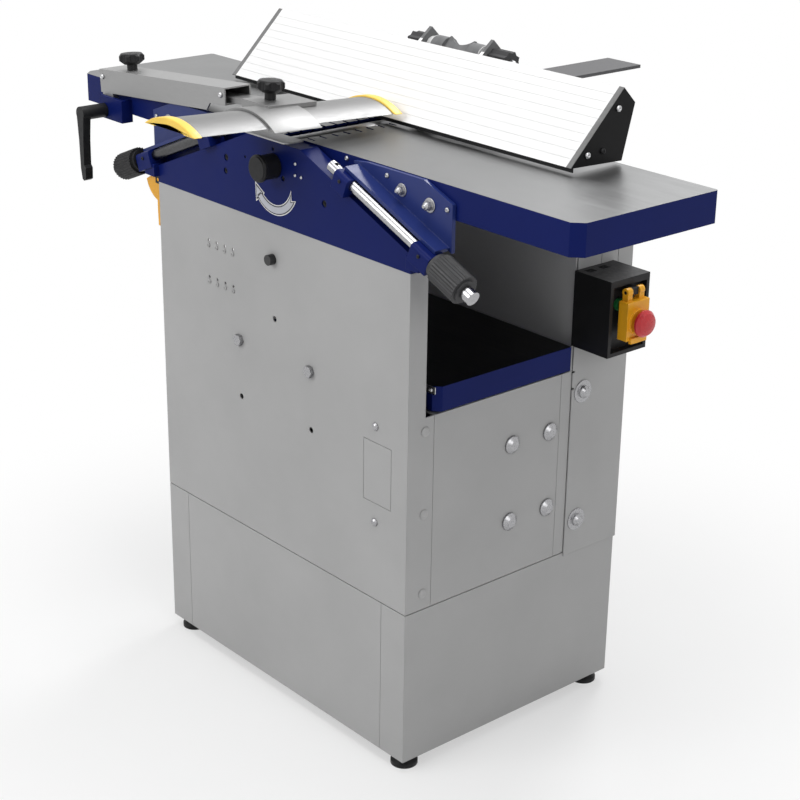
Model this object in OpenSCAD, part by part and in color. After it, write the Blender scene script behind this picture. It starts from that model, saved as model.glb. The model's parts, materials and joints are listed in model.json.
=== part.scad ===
// Combination planer thicknesser: a sheet steel cabinet with swinging planer tables over a fed thicknesser.
// The parts are drawn with X along the tables, Y away from the operator and Z up.
// X = 0 is the cutter axis, Y = 0 the tables' centre line and Z = 0 the floor.
// placed() then moves everything to the middle of the machine's own box.

/* [Cabinet] */
// Length of the cabinet
cab_len = 578; // [570:1:590]
// Depth of the cabinet behind the tables
cab_depth = 137; // [131:1:149]
// How far the cabinet front stands before the tables
cab_front = 32; // [31:0.5:35]
// Height of the plinth's lower edge above the floor
plinth_z = 18.5; // [16:0.5:24]
// Depth of the plinth's upper edge below the table tops
plinth_top = 619; // [614:1:626]
// Depth of the joint between the front panel and the frame below the table tops
panel_top = 120; // [119:1:128]
// Depth of the sill of the thicknesser opening below the table tops
sill_z = 328; // [325:1:338]
// Thickness of the sheet steel
sheet = 2; // [1.5:0.1:2.5]
// Width of the joints between panels
seam = 0.6; // [0.4:0.1:0.9]
// How far the plinth's end pieces wrap round the corners
wrap = 51; // [45:1:60]
// Width of the folded edges
fold = 30; // [28:1:34]
// Thickness of the cabinet floor
floor_t = 3; // [2:0.5:5]
// Distance of the levelling feet from the plinth's sides
foot_inset = 24; // [22:1:27]
// Radius of the levelling feet
foot_r = 20; // [16:0.5:22]
// Radius of the levelling studs
stud_r = 5; // [4:0.5:6]
// Depth of the front panel's corner below the sill
corner_low = 46.6; // [42:0.2:50]
// Width of the passage through the thicknesser
pass_w = 277; // [275:0.5:282]
// Depth of the drive bay's lid below the table tops
bay_top = 50; // [48:1:54]
// Half width of the raised part of the bay over the pulleys
hump_half = 110; // [104:1:114]

/* [Tables] */
// Length of the infeed table from the cutter axis
infeed_len = 549; // [500:1:600]
// Length of the outfeed table from the cutter axis
outfeed_len = 547; // [500:1:600]
// Width of the tables
table_w = 253; // [252:0.5:254]
// Height of the table tops above the floor
table_z = 876; // [874:0.5:878]
// Height of the tables' skirts
skirt_h = 43; // [41:0.5:43.5]
// Thickness of the table tops
table_t = 8; // [6:0.5:10]
// Thickness of the tables' walls and ribs
wall = 6; // [5:0.5:8]
// Size of the cut corners
corner = 14; // [8:1:20]
// Distance of the infeed lip from the cutter axis
lip_in = 19; // [18:0.5:22]
// Distance of the outfeed lip from the cutter axis
lip_out = 20; // [18:0.5:22]
// Number of slots in each lip
lip_slots = 12; // [8:1:16]
// Slope of the ways that the tables slide on, in degrees
incline = 22; // [21:0.5:22.5]
// Furthest slide of the infeed table along its way
infeed_travel = 7.5; // [5:0.5:7.5]
// Furthest slide of the outfeed table either way
outfeed_travel = 1.5; // [1:0.5:2]

/* [Cutter and feed] */
// Radius of the circle that the knives cut
knife_r = 36; // [35:0.5:37]
// Length of the cutterblock
cutter_w = 260; // [256:1:262]
// Radius of the cutter's shaft
shaft_r = 12.5; // [10:0.5:14]
// Distance of the feed rollers from the cutter axis
roller_x = 50; // [49:0.5:52]
// Radius of the feed rollers
roller_r = 14; // [12:0.5:14.5]
// Radius of the cutter pulley under the belt
cutter_pulley_r = 23; // [20:0.5:24]
// Radius of the motor pulley under the belt
motor_pulley_r = 40; // [34:1:46]
// Thickness of the drive belt
belt_t = 3; // [2:0.5:3.5]
// Width of the drive belt
belt_w = 16; // [12:1:18]
// Radius of the motor
motor_r = 68; // [60:1:70]
// Number of anti-kickback fingers
finger_n = 16; // [10:1:20]

/* [Thicknesser] */
// Width of the thicknesser table
thick_w = 256; // [250:1:258]
// Length of the thicknesser table
thick_len = 590; // [584:1:600]
// Height of the thicknesser table's edge
thick_h = 36; // [30:1:37]
// Depth of its top below the planer tables when it is all the way down
thick_z = 287; // [284:0.5:288]
// Radius of the lifting column's ram
ram_r = 40; // [36:1:44]
// Radius of the lifting screw
screw_r = 10; // [8:0.5:10.5]
// Radius of the handwheel
wheel_r = 75; // [65:1:85]

/* [Fence] */
// Length of the fence face
fence_len = 720; // [680:1:740]
// Height of the fence face
fence_h = 131; // [128:1:140]
// Thickness of the fence face
fence_t = 12; // [11:0.5:13]
// Lean of the fence at rest, in degrees from upright
fence_lean = 45; // [44:0.5:45]
// Place of the fence's lower edge across the tables
fence_y = 26.8; // [26:0.2:34]
// Height of the fence's lower edge above the tables
fence_gap = 9.5; // [9.5:0.5:11]
// Middle of the fence along the tables
fence_x = 17; // [10:1:24]
// Width of the rail that the fence slides on
rail_w = 70; // [64:1:74]
// Thickness of the rail
rail_t = 5; // [4:0.5:7]
// Place of the rail's rear end
rail_rear = 527; // [500:1:540]
// Furthest slide of the fence towards the back
fence_travel = 90; // [60:1:92]

/* [Guard] */
// Length of the guard
guard_len = 356; // [330:1:380]
// Width of the guard
guard_w = 107; // [102:1:112]
// Height of the guard's arch
guard_rise = 14; // [13:0.5:16]
// Thickness of the guard
guard_t = 3; // [2.5:0.5:4]
// Place of the guard's rear end across the tables
guard_y = 26; // [20:0.5:26]
// Height of the guard's edges above the tables
guard_gap = 21; // [20:0.5:22]
// Turn of the guard in plan, in degrees
guard_turn = 0; // [0:0.1:2]
// Rise of the guard towards the front, in degrees
guard_pitch = 2.7; // [2:0.1:3]
// Rise of the guard arm at rest, in degrees
arm_lift = 4.6; // [4.4:0.1:5]
// Place of the arm's pivot along the tables
arm_x = -455; // [-465:1:-445]
// Depth of the arm's pivot below the table tops
arm_drop = 42; // [41:0.5:43]

/* [Switch] */
// Width of the switch box
switch_w = 79; // [72:1:84]
// Height of the switch box
switch_h = 112; // [104:1:120]
// Depth of the switch box
switch_d = 70; // [60:1:76]
// Depth of the switch box's lower edge below the table tops
switch_z = 287; // [276:1:306]
// Radius of the stop mushroom
mushroom_r = 19.5; // [16:0.5:20.5]

/* [Hidden] */
$fn = 48;
fit = 0.05;
gap = 0.3;
cut = 1;

// Main planes
cab_half = cab_len / 2;
table_front = -table_w / 2;
table_back = table_w / 2;
front_y = table_front - cab_front;
back_y = table_back + cab_depth;
pass_front = table_front - 1;
pass_rear = pass_front + pass_w;
skirt_z = table_z - skirt_h;
cutter_z = table_z - knife_r;
plinth_edge = table_z - plinth_top;
panel_edge = table_z - panel_top;
sill_edge = table_z - sill_z;
lid_z = table_z - bay_top;
bed_z = table_z - thick_z;
switch_low = table_z - switch_z;
wall_t = 3;
floor_z = plinth_edge + floor_t;
panel_z = plinth_edge + 1.5;
strip_y = pass_rear - 17.2;

// Drive bay: its front face, and the share of the drawn depth that its layout takes up
bay_front = pass_rear + wall_t;
bay_part = (back_y - bay_front) / 111;

// Frame plate and the rods that guide the tables
frame_t = 5;
frame_top = table_z - 2;
frame_flat = 60;
frame_back = table_front - 2.5;
rod_r = 8;
rod_x = 147;
rod_y = front_y + 3;
rod_z = table_z - 20;
rod_start = -25;
rod_end = 277;
lugs = [[-4, 24], [163, 200]];
lug_top = 9.5;
lug_half = 13.5;
lug_foot = (rod_z - edge_z(rod_x)) * cos(incline) + 1.2;
knob_start = 203;
knob_len = 59;
knob_r = 21;
bracket_t = 6;
bracket_end = knob_start - infeed_travel - cut;

// Cutter, bearings and drive
block_r = knife_r - 1;
lip_r = knife_r + 3;
cutter_front = table_front - 0.5;
cutter_back = cutter_front + cutter_w;
housing_r = 27;
housing_front = cutter_front - 4;
housing_back = pass_rear - 12.5;
shaft_front = front_y - 12;
shaft_back = bay_front + 91 * bay_part;
drive_y = bay_front + 66 * bay_part;
flange_t = 3;
motor_x = 204;
motor_z = table_z - 471.4;
motor_front = pass_rear - 179;
motor_back = pass_rear - 4;
motor_foot_y = 75;
motor_bolt_y = 37.7;
motor_bolt_z = 60;
feed_y = bay_front + 8 * bay_part;
sprocket_r = 37;
sprocket_t = 5;
roller_z = cutter_z - knife_r - 1 + roller_r;
roller_shaft_r = 8;
idler_z = table_z - 176;
idler_r = 14;
hub_r = 14;
hub_y = bay_front + 32 * bay_part;
hub_w = 14 * bay_part;
friction_r = cutter_z - idler_z - hub_r - gap;
rod_finger_x = -88;
rod_finger_r = 4;

// Lifting gear
thick_front = pass_rear - 6.5 - thick_w;
thick_back = thick_front + thick_w;
thick_low = bed_z - thick_h;
lift_y = 15;
screw_x = -110;
screw_low = 87;
nut_z = floor_z + 68;
bevel_r = 30;
pinion_r = 18;
crank_z = nut_z + 7 + pinion_r + gap;
wheel_x = -cab_half - 44;

// Swinging carrier of the tables
relief_x = 112;
hinge_y = back_y - 18.5;
hinge_z = table_z - 26;
hinge_r = 6;
way_y = table_back + 7;
way_t = 8;
arm_plates = [150, 250];
arm_t = 12;
bar_z = table_z - 4.5;
bar_t = 8;
bar_front = pass_rear + 0.5;
bar_back = bar_front + 70 * bay_part;
rail_front = bar_front + 6;
stud_x = [134, 230];
stud_z = table_z - 28;

// Fence
fence_z = table_z + fence_gap;
fence_pin_n = 6;
fence_pin_h = 12;
fence_pin_r = 2.5;
fence_left = fence_x - fence_len / 2;
fence_arms = rail_w / 2 + 13;
rail_z = table_z + 24;
plate_end = 9;
clamp_mid = fence_x + 18;
clamp_n = 36;
clamp_h = fence_h + 17;
clamp_half = 65.5;
clamp_t = 6;

// Guard
guard_z = table_z + guard_gap;
arch_r = (guard_w * guard_w / 4 + guard_rise * guard_rise) / (2 * guard_rise);
arch_drop = arch_r - guard_rise;
cap_len = 14;
cap_out = 2.5;
holder_mid = -191;
holder_half = 40;
knob_spot = [-30, -168];
arm_z = table_z - arm_drop;
arm_front = table_front - 10.5;
arm_w = 47;
arm_len = 316;
arm_low = 25.3;
arm_top = 61.3;
arm_t2 = 2.5;
tray = 36;
tray_u = 130;

// Switch
switch_x = cab_half + sheet;
switch_y = pass_rear - 3.5;
switch_mid = switch_y + switch_w / 2;
flap_h = 68;
flap_t = 17;
flap_collar = 3;
flap_top = switch_low + switch_h - 18;
flap_pin = 2.5;
flap_hook = 12;
hook_half = 5;
mushroom_z = flap_top - 42;
start_y = switch_mid - 10;
start_z = flap_top - 22;

// Middle of the machine's box
front_most = guard_y - sin(guard_turn) * (guard_w / 2 + cap_out)
    - cos(guard_turn) * cos(guard_pitch) * guard_len;
mid_x = (infeed_len - outfeed_len) / 2;
mid_y = (rail_rear + front_most) / 2;

blue = [0.13, 0.17, 0.39];
grey = [0.64, 0.64, 0.64];
steel = [0.75, 0.75, 0.74];
black = [0.08, 0.08, 0.08];
yellow = [0.98, 0.78, 0.25];

// Height of the frame plate's sloping edge at a distance from the cutter axis
function edge_z(x) = frame_top - (x - frame_flat) * tan(incline);

// Outline of the frame plate, set in by a thickness
function frame_outline(t) = let (
    half = cab_half - t,
    flat = frame_flat - t * tan(incline / 2),
    low = edge_z(half) - t / cos(incline),
    base = panel_edge - (t > 0 ? cut : 0)
) [[-half, base], [half, base], [half, low], [flat, frame_top - t], [-flat, frame_top - t], [-half, low]];

// Rectangle with cut corners at its far end, the rear one b and the front one c wide
function cut_end(x0, x1, y0, y1, c, b) = let (s = sign(x1 - x0))
    [[x0, y0], [x1 - s * c, y0], [x1, y0 + c], [x1, y1 - b], [x1 - s * b, y1], [x0, y1]];

// Star outline with rounded-off teeth for knurls and sprockets
function star(n, r_out, r_in) = [
    for (i = [0 : 2 * n - 1])
        let (r = i % 2 == 0 ? r_out : r_in, a = 180 * i / n) [r * cos(a), r * sin(a)]
];

// Tangent points of a loop round circles given as [x, y, r], anticlockwise
function loop_points(rounds) = [
    for (i = [0 : len(rounds) - 1])
        let (
            p = rounds[i],
            q = rounds[(i + 1) % len(rounds)],
            span = norm([q[0] - p[0], q[1] - p[1]]),
            d = [(q[0] - p[0]) / span, (q[1] - p[1]) / span],
            s = (p[2] - q[2]) / span,
            c = sqrt(1 - s * s),
            n = [d[1] * c + d[0] * s, -d[0] * c + d[1] * s]
        )
        each [[p[0] + p[2] * n[0], p[1] + p[2] * n[1]], [q[0] + q[2] * n[0], q[1] + q[2] * n[1]]]
];

// Circles of a loop, all grown by the same amount
function grown(rounds, t) = [for (c = rounds) [c[0], c[1], c[2] + t]];

module placed() {
    translate([-mid_x, -mid_y, 0])
        children();
}

// A drawing in X and Z, thick from y0 to y1
module plate_xz(y0, y1) {
    translate([0, y1, 0])
        rotate([90, 0, 0])
            linear_extrude(y1 - y0)
                children();
}

// A drawing in Y and Z, thick from x0 to x1
module plate_yz(x0, x1) {
    translate([x0, 0, 0])
        rotate([90, 0, 90])
            linear_extrude(x1 - x0)
                children();
}

// A box from one corner to the other
module box(a, b) {
    translate(a)
        cube(b - a);
}

// A round bar along X, Y or Z
module bar_x(r, x0, x1, y, z) {
    translate([x0, y, z])
        rotate([0, 90, 0])
            cylinder(r = r, h = x1 - x0);
}

module bar_y(r, y0, y1, x, z) {
    translate([x, y0, z])
        rotate([-90, 0, 0])
            cylinder(r = r, h = y1 - y0);
}

module bar_z(r, z0, z1, x, y) {
    translate([x, y, z0])
        cylinder(r = r, h = z1 - z0);
}

module both_ends() {
    children();
    mirror([1, 0, 0])
        children();
}

// A closed loop round circles
module loop_2d(rounds) {
    polygon(loop_points(rounds));
    for (c = rounds)
        translate([c[0], c[1]])
            circle(r = c[2]);
}

// Frame of a guide rod: X along the rod, Z square to it
module along_rod() {
    translate([rod_x, rod_y, rod_z])
        rotate([0, incline, 0])
            children();
}

// Frame of the fence: Y through its thickness, Z up its face
module fence_frame() {
    translate([0, fence_y, fence_z])
        rotate([-fence_lean, 0, 0])
            children();
}

// Frame of the guard: Y along it with 0 at its rear end
module guard_frame() {
    translate([0, guard_y, guard_z])
        rotate([-guard_pitch, 0, -guard_turn])
            children();
}

// Frame of the guard's arm: X along it from its pivot
module arm_frame() {
    translate([arm_x, 0, arm_z])
        rotate([0, -arm_lift, 0])
            children();
}

// Cross section of an arched sheet between two radii
module arch_2d(r_out, r_in, low) {
    half = r_out + cut;
    difference() {
        translate([0, -arch_drop])
            circle(r = r_out, $fn = 96);
        translate([0, -arch_drop])
            circle(r = r_in, $fn = 96);
        translate([-half, low - 2 * half])
            square([2 * half, 2 * half]);
    }
}

// Knob with lobes, standing on Z = 0
module lobed_knob(r, h, stem_r, stem_h) {
    lobes = 7;
    cylinder(r = stem_r, h = stem_h + cut);
    translate([0, 0, stem_h])
        intersection() {
            linear_extrude(h)
                union() {
                    circle(r = r * 0.86);
                    for (i = [0 : lobes - 1])
                        rotate(360 * i / lobes)
                            translate([r * 0.78, 0])
                                circle(r = r * 0.22);
                }
            rotate_extrude()
                polygon([[0, 0], [r * 0.6, 0], [r, h * 0.35], [r, h * 0.7], [r * 0.8, h * 0.93], [0, h]]);
        }
}

// Plinth end that wraps round two corners
module base_ends() {
    color(grey)
        both_ends()
            difference() {
                box([cab_half - wrap, front_y, plinth_z], [cab_half, back_y, plinth_edge]);
                box([cab_half - wrap - cut, front_y + sheet, plinth_z + sheet],
                    [cab_half - sheet, back_y - sheet, plinth_edge - sheet]);
                box([cab_half - wrap - cut, front_y + fold, plinth_z - cut],
                    [cab_half - fold, back_y - fold, plinth_edge + cut]);
                for (y = [front_y + foot_inset, back_y - foot_inset])
                    bar_z(stud_r + gap, plinth_z - cut, plinth_z + sheet + cut, cab_half - foot_inset, y);
            }
}

// Plinth panels between the ends
module base_panels() {
    half = cab_half - wrap - seam;
    color(grey) {
        box([-half, front_y, plinth_z], [half, front_y + sheet, plinth_edge]);
        box([-half, front_y, plinth_edge - sheet], [half, front_y + fold, plinth_edge]);
        box([-half, back_y - sheet, plinth_z], [half, back_y, plinth_edge]);
        box([-half, back_y - fold, plinth_edge - sheet], [half, back_y, plinth_edge]);
    }
}

module levelling_feet() {
    nut_h = plinth_z * 0.3;
    stud_top = plinth_z + 26;
    color(black)
        for (x = [-cab_half + foot_inset, cab_half - foot_inset],
                y = [front_y + foot_inset, back_y - foot_inset])
            translate([x, y, 0]) {
                rotate_extrude()
                    polygon([[0, 0], [foot_r, 0], [foot_r, plinth_z * 0.3], [foot_r * 0.55, plinth_z - nut_h],
                        [0, plinth_z - nut_h]]);
                translate([0, 0, plinth_z - nut_h])
                    cylinder(r = stud_r * 1.8, h = nut_h, $fn = 6);
                cylinder(r = stud_r, h = stud_top);
            }
}

// Cabinet floor with the hole for the lifting column
module base_plate() {
    color(grey)
        difference() {
            box([-cab_half + sheet, front_y + sheet, plinth_edge], [cab_half - sheet, back_y - sheet, floor_z]);
            bar_z(ram_r + 8 + gap, plinth_edge - cut, floor_z + cut, 0, lift_y);
            bar_z(screw_r + 2, plinth_edge - cut, floor_z + cut, screw_x, lift_y);
        }
}

// Front panel with its folded corners, vents, holes and the score lines of the knock-out
module front_panel() {
    vent_x = [for (i = [0 : 3]) -162 + 20 * i];
    vent_z = [panel_edge - 61.5, panel_edge - 118];
    hatch = [197, table_z - 469.5, 256, table_z - 377.5];
    score = 0.8;
    color(grey)
        difference() {
            union() {
                box([-cab_half, front_y, panel_z], [cab_half, front_y + sheet, panel_edge]);
                both_ends() {
                    box([cab_half - sheet, front_y, panel_z], [cab_half, front_y + corner_low, sill_edge]);
                    box([cab_half - sheet, front_y, panel_z], [cab_half, pass_front, panel_edge]);
                }
            }
            for (x = vent_x, z = vent_z)
                bar_y(2.4, front_y - cut, front_y + sheet + cut, x, z);
            for (p = [[-3, table_z - 261], [-87, table_z - 406], [80, table_z - 406]])
                bar_y(4.5, front_y - cut, front_y + sheet + cut, p[0], p[1]);
            plate_xz(front_y - cut, front_y + sheet / 2)
                difference() {
                    translate([hatch[0], hatch[1]])
                        square([hatch[2] - hatch[0], hatch[3] - hatch[1]]);
                    translate([hatch[0] + score, hatch[1] + score])
                        square([hatch[2] - hatch[0] - 2 * score, hatch[3] - hatch[1] - 2 * score]);
                }
        }
}

// Panels under the thicknesser opening, one at each end
module end_panels() {
    y0 = front_y + corner_low + seam;
    y1 = strip_y - seam;
    color(grey)
        difference() {
            both_ends() {
                box([cab_half - sheet, y0, panel_z], [cab_half, y1, sill_edge]);
                box([cab_half - fold, y0, sill_edge - sheet], [cab_half, y1, sill_edge]);
            }
            bar_x(pinion_r / 2, -cab_half - cut, -cab_half + sheet + cut, lift_y, crank_z);
        }
}

// Wall between the passage and the drive bay
module bay_wall() {
    hump_top = bar_z - 3.5;
    color(grey)
        difference() {
            union() {
                plate_xz(pass_rear, pass_rear + wall_t)
                    polygon([[-cab_half, panel_z], [cab_half, panel_z], [cab_half, lid_z], [hump_half, lid_z],
                        [hump_half, hump_top], [-hump_half, hump_top], [-hump_half, lid_z],
                        [-cab_half, lid_z]]);
                both_ends()
                    box([cab_half - sheet, strip_y, panel_z], [cab_half, pass_rear + cut, sill_edge]);
            }
            box([-cab_half - cut, pass_rear - cut, plinth_edge - cut],
                [cab_half + cut, pass_rear + wall_t + cut, floor_z]);
            bar_y(shaft_r + cut, pass_rear - cut, pass_rear + wall_t + cut, 0, cutter_z);
            for (x = [-roller_x, roller_x])
                bar_y(roller_shaft_r + cut, pass_rear - cut, pass_rear + wall_t + cut, x, roller_z);
            bar_y(shaft_r, pass_rear - cut, pass_rear + wall_t + cut, motor_x, motor_z);
        }
}

// Rear cover: back sheet, left end, lid and the raised part over the pulleys
module rear_cover() {
    y0 = bay_front;
    hump_top = bar_z - 1.5;
    color(grey)
        difference() {
            union() {
                box([-cab_half, y0, panel_z], [cab_half, back_y, lid_z]);
                box([-hump_half, y0, lid_z - cut], [hump_half, back_y, hump_top]);
            }
            box([-cab_half + sheet, y0 - cut, panel_z - cut], [cab_half + cut, back_y - sheet, lid_z - sheet]);
            box([-hump_half + sheet, y0 - cut, lid_z - 2 * sheet - cut],
                [hump_half - sheet, back_y - sheet, hump_top - sheet]);
        }
}

// Belt cover on the right end
module belt_cover() {
    y0 = bay_front + seam;
    lap = 5;
    scores = [50, 84.5];
    score_w = 1.2;
    color(grey)
        difference() {
            union() {
                box([cab_half, y0, plinth_edge - lap], [cab_half + sheet, back_y + sheet, lid_z]);
                box([cab_half - fold, back_y, plinth_edge - lap], [cab_half + sheet, back_y + sheet, lid_z]);
            }
            for (z = [sill_edge, sill_edge - 26])
                box([cab_half - cut, y0 - cut, z - 3], [cab_half + sheet + cut, y0 + 4, z]);
            for (y = scores)
                box([cab_half + sheet / 2, pass_rear + y, switch_low + switch_h / 2],
                    [cab_half + sheet + cut, pass_rear + y + score_w, lid_z + cut]);
        }
}

// Domed head, its axis along Z
module dome(r, h) {
    rim = 0.4 * h;
    cylinder(r = r, h = rim);
    translate([0, 0, rim])
        cylinder(r1 = r, r2 = 0.55 * r, h = h - rim);
}

module on_front(x, z) {
    translate([x, front_y, z])
        rotate([90, 0, 0])
            children();
}

module on_right(y, z, proud) {
    translate([cab_half + proud, y, z])
        rotate([0, 90, 0])
            children();
}

// Bolts, screws and rivets of the cabinet panels
module panel_fasteners() {
    hex_r = 9.5;
    head_h = 7;
    washer_t = 1.5;
    color(steel) {
        for (x = [-88.4, 78.7])
            on_front(x, sill_edge + 11.5)
                cylinder(r = hex_r, h = head_h, $fn = 6);
        for (y = [-1, 1], z = [-1, 1])
            on_right(motor_foot_y + y * motor_bolt_y, motor_z + z * motor_bolt_z, 0)
                dome(13.5, head_h);
        for (z = [sill_edge - 36, plinth_edge + 50])
            on_right(pass_rear + 26, z, sheet) {
                cylinder(r = 17.5, h = washer_t);
                translate([0, 0, washer_t])
                    dome(hex_r, head_h);
            }
        for (z = [table_z - 354, table_z - 498])
            on_front(222, z)
                dome(6, 4);
        on_front(-5, table_z - 172)
            cylinder(r = 7.8, h = 10.5);
        for (z = [sill_edge - 20, sill_edge - 143, plinth_edge + 26])
            both_ends()
                on_right(pass_front, z, 0)
                    dome(7.3, 3);
    }
}

// Blue frame plate with its folded edge, the lugs of the guide rods, the screens behind them and its holes
module frame_front() {
    holes = [[-2, -13, 2.6], [20, -50, 4], [-113, -47, 5], [-115, -67, 4.5], [-67, -37, 2.2], [111, -66, 5]];
    lug_round = 6;
    lug_h = lug_top + lug_foot;
    screen = [14, 16];
    color(blue)
        difference() {
            union() {
                difference() {
                    plate_xz(front_y, frame_back)
                        polygon(frame_outline(0));
                    plate_xz(front_y + frame_t, frame_back + cut)
                        polygon(frame_outline(frame_t));
                }
                both_ends() {
                    along_rod() {
                        for (u = lugs)
                            plate_yz(u[0], u[1]) {
                                translate([lug_round - lug_half, lug_top - lug_round])
                                    circle(r = lug_round);
                                translate([-lug_half, -lug_foot])
                                    square([2 * lug_half, lug_h - lug_round]);
                                translate([lug_round - lug_half, -lug_foot])
                                    square([2 * lug_half - lug_round, lug_h]);
                            }
                        box([lugs[0][1] - cut, screen[0], -lug_foot],
                            [lugs[1][0] + cut, screen[1], lug_top - 0.5]);
                    }
                    box([cab_half - cut, rod_y - lug_half + 2, stop_z + 8],
                        [cab_half + 24, rod_y + lug_half - 2, edge_z(cab_half) + 2]);
                }
            }
            both_ends()
                along_rod()
                    bar_x(rod_r, lugs[0][0] - cut, lugs[1][1] + cut, 0, 0);
            for (h = holes)
                bar_y(h[2], front_y - cut, front_y + frame_t + cut, h[0], table_z + h[1]);
            bar_y(shaft_r + cut, front_y - cut, front_y + frame_t + cut, 0, cutter_z);
        }
}

// Steel plate that closes the cutter gap on top of the frame plate
module gap_plate() {
    color(steel)
        translate([0, 0, frame_top])
            linear_extrude(table_z - frame_top)
                polygon([[-96, front_y], [22, front_y], [27, front_y + 5], [27, pass_front],
                    [-96, pass_front]]);
}

// Cap over the front end of the cutter's shaft
module shaft_cap() {
    cap_r = 17.5;
    cap_h = 31;
    color(black)
        difference() {
            union() {
                bar_y(cap_r, front_y - cap_h, front_y, 0, cutter_z);
                bar_y(cap_r + 2, front_y - cap_h + 2, front_y - cap_h + 7, 0, cutter_z);
            }
            bar_y(shaft_r + cut, front_y - cap_h + 6, front_y + cut, 0, cutter_z);
        }
}

// Chrome rods along the sloping ways, with cross holes at their upper ends
module guide_rods() {
    tip_r = 6;
    color(steel)
        both_ends()
            along_rod()
                difference() {
                    union() {
                        bar_x(rod_r, rod_start, knob_start + knob_len, 0, 0);
                        bar_x(tip_r, knob_start, rod_end - 2, 0, 0);
                        bar_x(tip_r + 4, knob_start + knob_len + cut, rod_end, 0, 0);
                    }
                    bar_z(3.2, -2 * rod_r, 2 * rod_r, rod_start + 9, 0);
                }
}

// Knurled knob that turns on a guide rod
module way_knob() {
    collar = 7;
    along_rod()
        difference() {
            union() {
                bar_x(knob_r - 4, knob_start, knob_start + collar + cut, 0, 0);
                translate([knob_start + collar, 0, 0])
                    rotate([0, 90, 0])
                        linear_extrude(knob_len - collar - 3)
                            polygon(star(30, knob_r, knob_r - 1.4));
                bar_x(knob_r - 5, knob_start + collar, knob_start + knob_len, 0, 0);
            }
            bar_x(rod_r + fit, knob_start - cut, knob_start + knob_len + cut, 0, 0);
        }
}

module infeed_knob() {
    color([0.35, 0.35, 0.36])
        way_knob();
}

module outfeed_knob() {
    color([0.2, 0.2, 0.2])
        mirror([1, 0, 0])
            way_knob();
}

// Flanged bearings of the cutter's shaft, front and rear
module cutter_bearings() {
    color(steel)
        difference() {
            union() {
                bar_y(housing_r, front_y + frame_t, housing_front, 0, cutter_z);
                bar_y(housing_r, housing_back, pass_rear, 0, cutter_z);
            }
            bar_y(shaft_r + fit, front_y, pass_rear + cut, 0, cutter_z);
        }
}

// A knife slot, knife or wedge: a bar along the block between two offsets and two radii
module knife_bar(y0, y1, t0, t1, r0, r1) {
    translate([0, 0, cutter_z])
        for (a = [0, 120, 240])
            rotate([0, a + 40, 0])
                box([t0, y0, r0], [t1, y1, r1]);
}

knife_t = 3;
wedge_t = 9;
slot_r = knife_r - 20;

module cutterblock() {
    color(steel)
        difference() {
            union() {
                bar_y(block_r, cutter_front, cutter_back, 0, cutter_z);
                bar_y(shaft_r, shaft_front, shaft_back, 0, cutter_z);
                bar_y(hub_r, hub_y, hub_y + hub_w, 0, cutter_z);
            }
            knife_bar(cutter_front - cut, cutter_back + cut, -wedge_t, knife_t, slot_r, knife_r + 5);
        }
}

module knives() {
    color([0.85, 0.85, 0.86])
        knife_bar(cutter_front, cutter_back, 0, knife_t, slot_r, knife_r);
}

module knife_wedges() {
    color([0.55, 0.55, 0.56])
        knife_bar(cutter_front, cutter_back, -wedge_t, 0, slot_r, block_r - 3);
}

// Flanged belt pulley round a shaft along Y
module pulley(r, bore, x, z) {
    half = belt_w / 2 + 1;
    difference() {
        union() {
            bar_y(r, drive_y - half, drive_y + half, x, z);
            for (y = [drive_y - half - flange_t, drive_y + half])
                bar_y(r + belt_t + 1, y, y + flange_t, x, z);
        }
        if (bore > 0)
            bar_y(bore, drive_y - 2 * half, drive_y + 2 * half, x, z);
    }
}

module cutter_pulley() {
    color([0.5, 0.5, 0.52])
        pulley(cutter_pulley_r, shaft_r, 0, cutter_z);
}

// Motor pulley with its shaft
module motor_pulley() {
    shaft = 9;
    color([0.5, 0.5, 0.52]) {
        pulley(motor_pulley_r, 0, motor_x, motor_z);
        bar_y(shaft, motor_back + gap, drive_y, motor_x, motor_z);
    }
}

module drive_belt() {
    rounds = [[0, cutter_z, cutter_pulley_r + gap], [motor_x, motor_z, motor_pulley_r + gap]];
    color(black)
        plate_xz(drive_y - belt_w / 2, drive_y + belt_w / 2)
            difference() {
                loop_2d(grown(rounds, belt_t));
                loop_2d(rounds);
            }
}

// Motor on its foot, bolted to the right end panel
module motor() {
    foot = 140;
    color([0.25, 0.27, 0.32]) {
        difference() {
            union() {
                bar_y(motor_r, motor_front, motor_back, motor_x, motor_z);
                for (y = [motor_front + 20 : 14 : motor_back - 30])
                    bar_y(motor_r + 3, y, y + 5, motor_x, motor_z);
                box([motor_x, motor_foot_y - 50, motor_z - foot / 2],
                    [cab_half - sheet, motor_foot_y + 50, motor_z + foot / 2]);
            }
            for (y = [-1, 1], z = [-1, 1])
                box([motor_x - cut, motor_foot_y - 50 - cut, motor_z + (z < 0 ? -foot / 2 - cut : 40)],
                    [cab_half - sheet - 12, motor_foot_y + 50 + cut, motor_z + (z < 0 ? -40 : foot / 2 + cut)]);
        }
    }
}

// Bearing blocks of the feed rollers and the rod of the anti-kickback fingers
module feed_bearings() {
    half = 13;
    y_front = front_y + frame_t;
    color([0.45, 0.46, 0.48]) {
        for (span = [[y_front, housing_front], [housing_back, pass_rear]])
            difference() {
                union() {
                    for (x = [-roller_x, roller_x])
                        box([x - half, span[0], roller_z - half], [x + half, span[1], roller_z + half]);
                    box([rod_finger_x - half, span[0], roller_z - half], [-roller_x, span[1], roller_z + half]);
                }
                for (x = [-roller_x, roller_x])
                    bar_y(roller_shaft_r + fit, span[0] - cut, span[1] + cut, x, roller_z);
                bar_y(rod_finger_r, span[0] - cut, span[1] + cut, rod_finger_x, roller_z);
            }
        bar_y(rod_finger_r, y_front, pass_rear, rod_finger_x, roller_z);
    }
}

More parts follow.
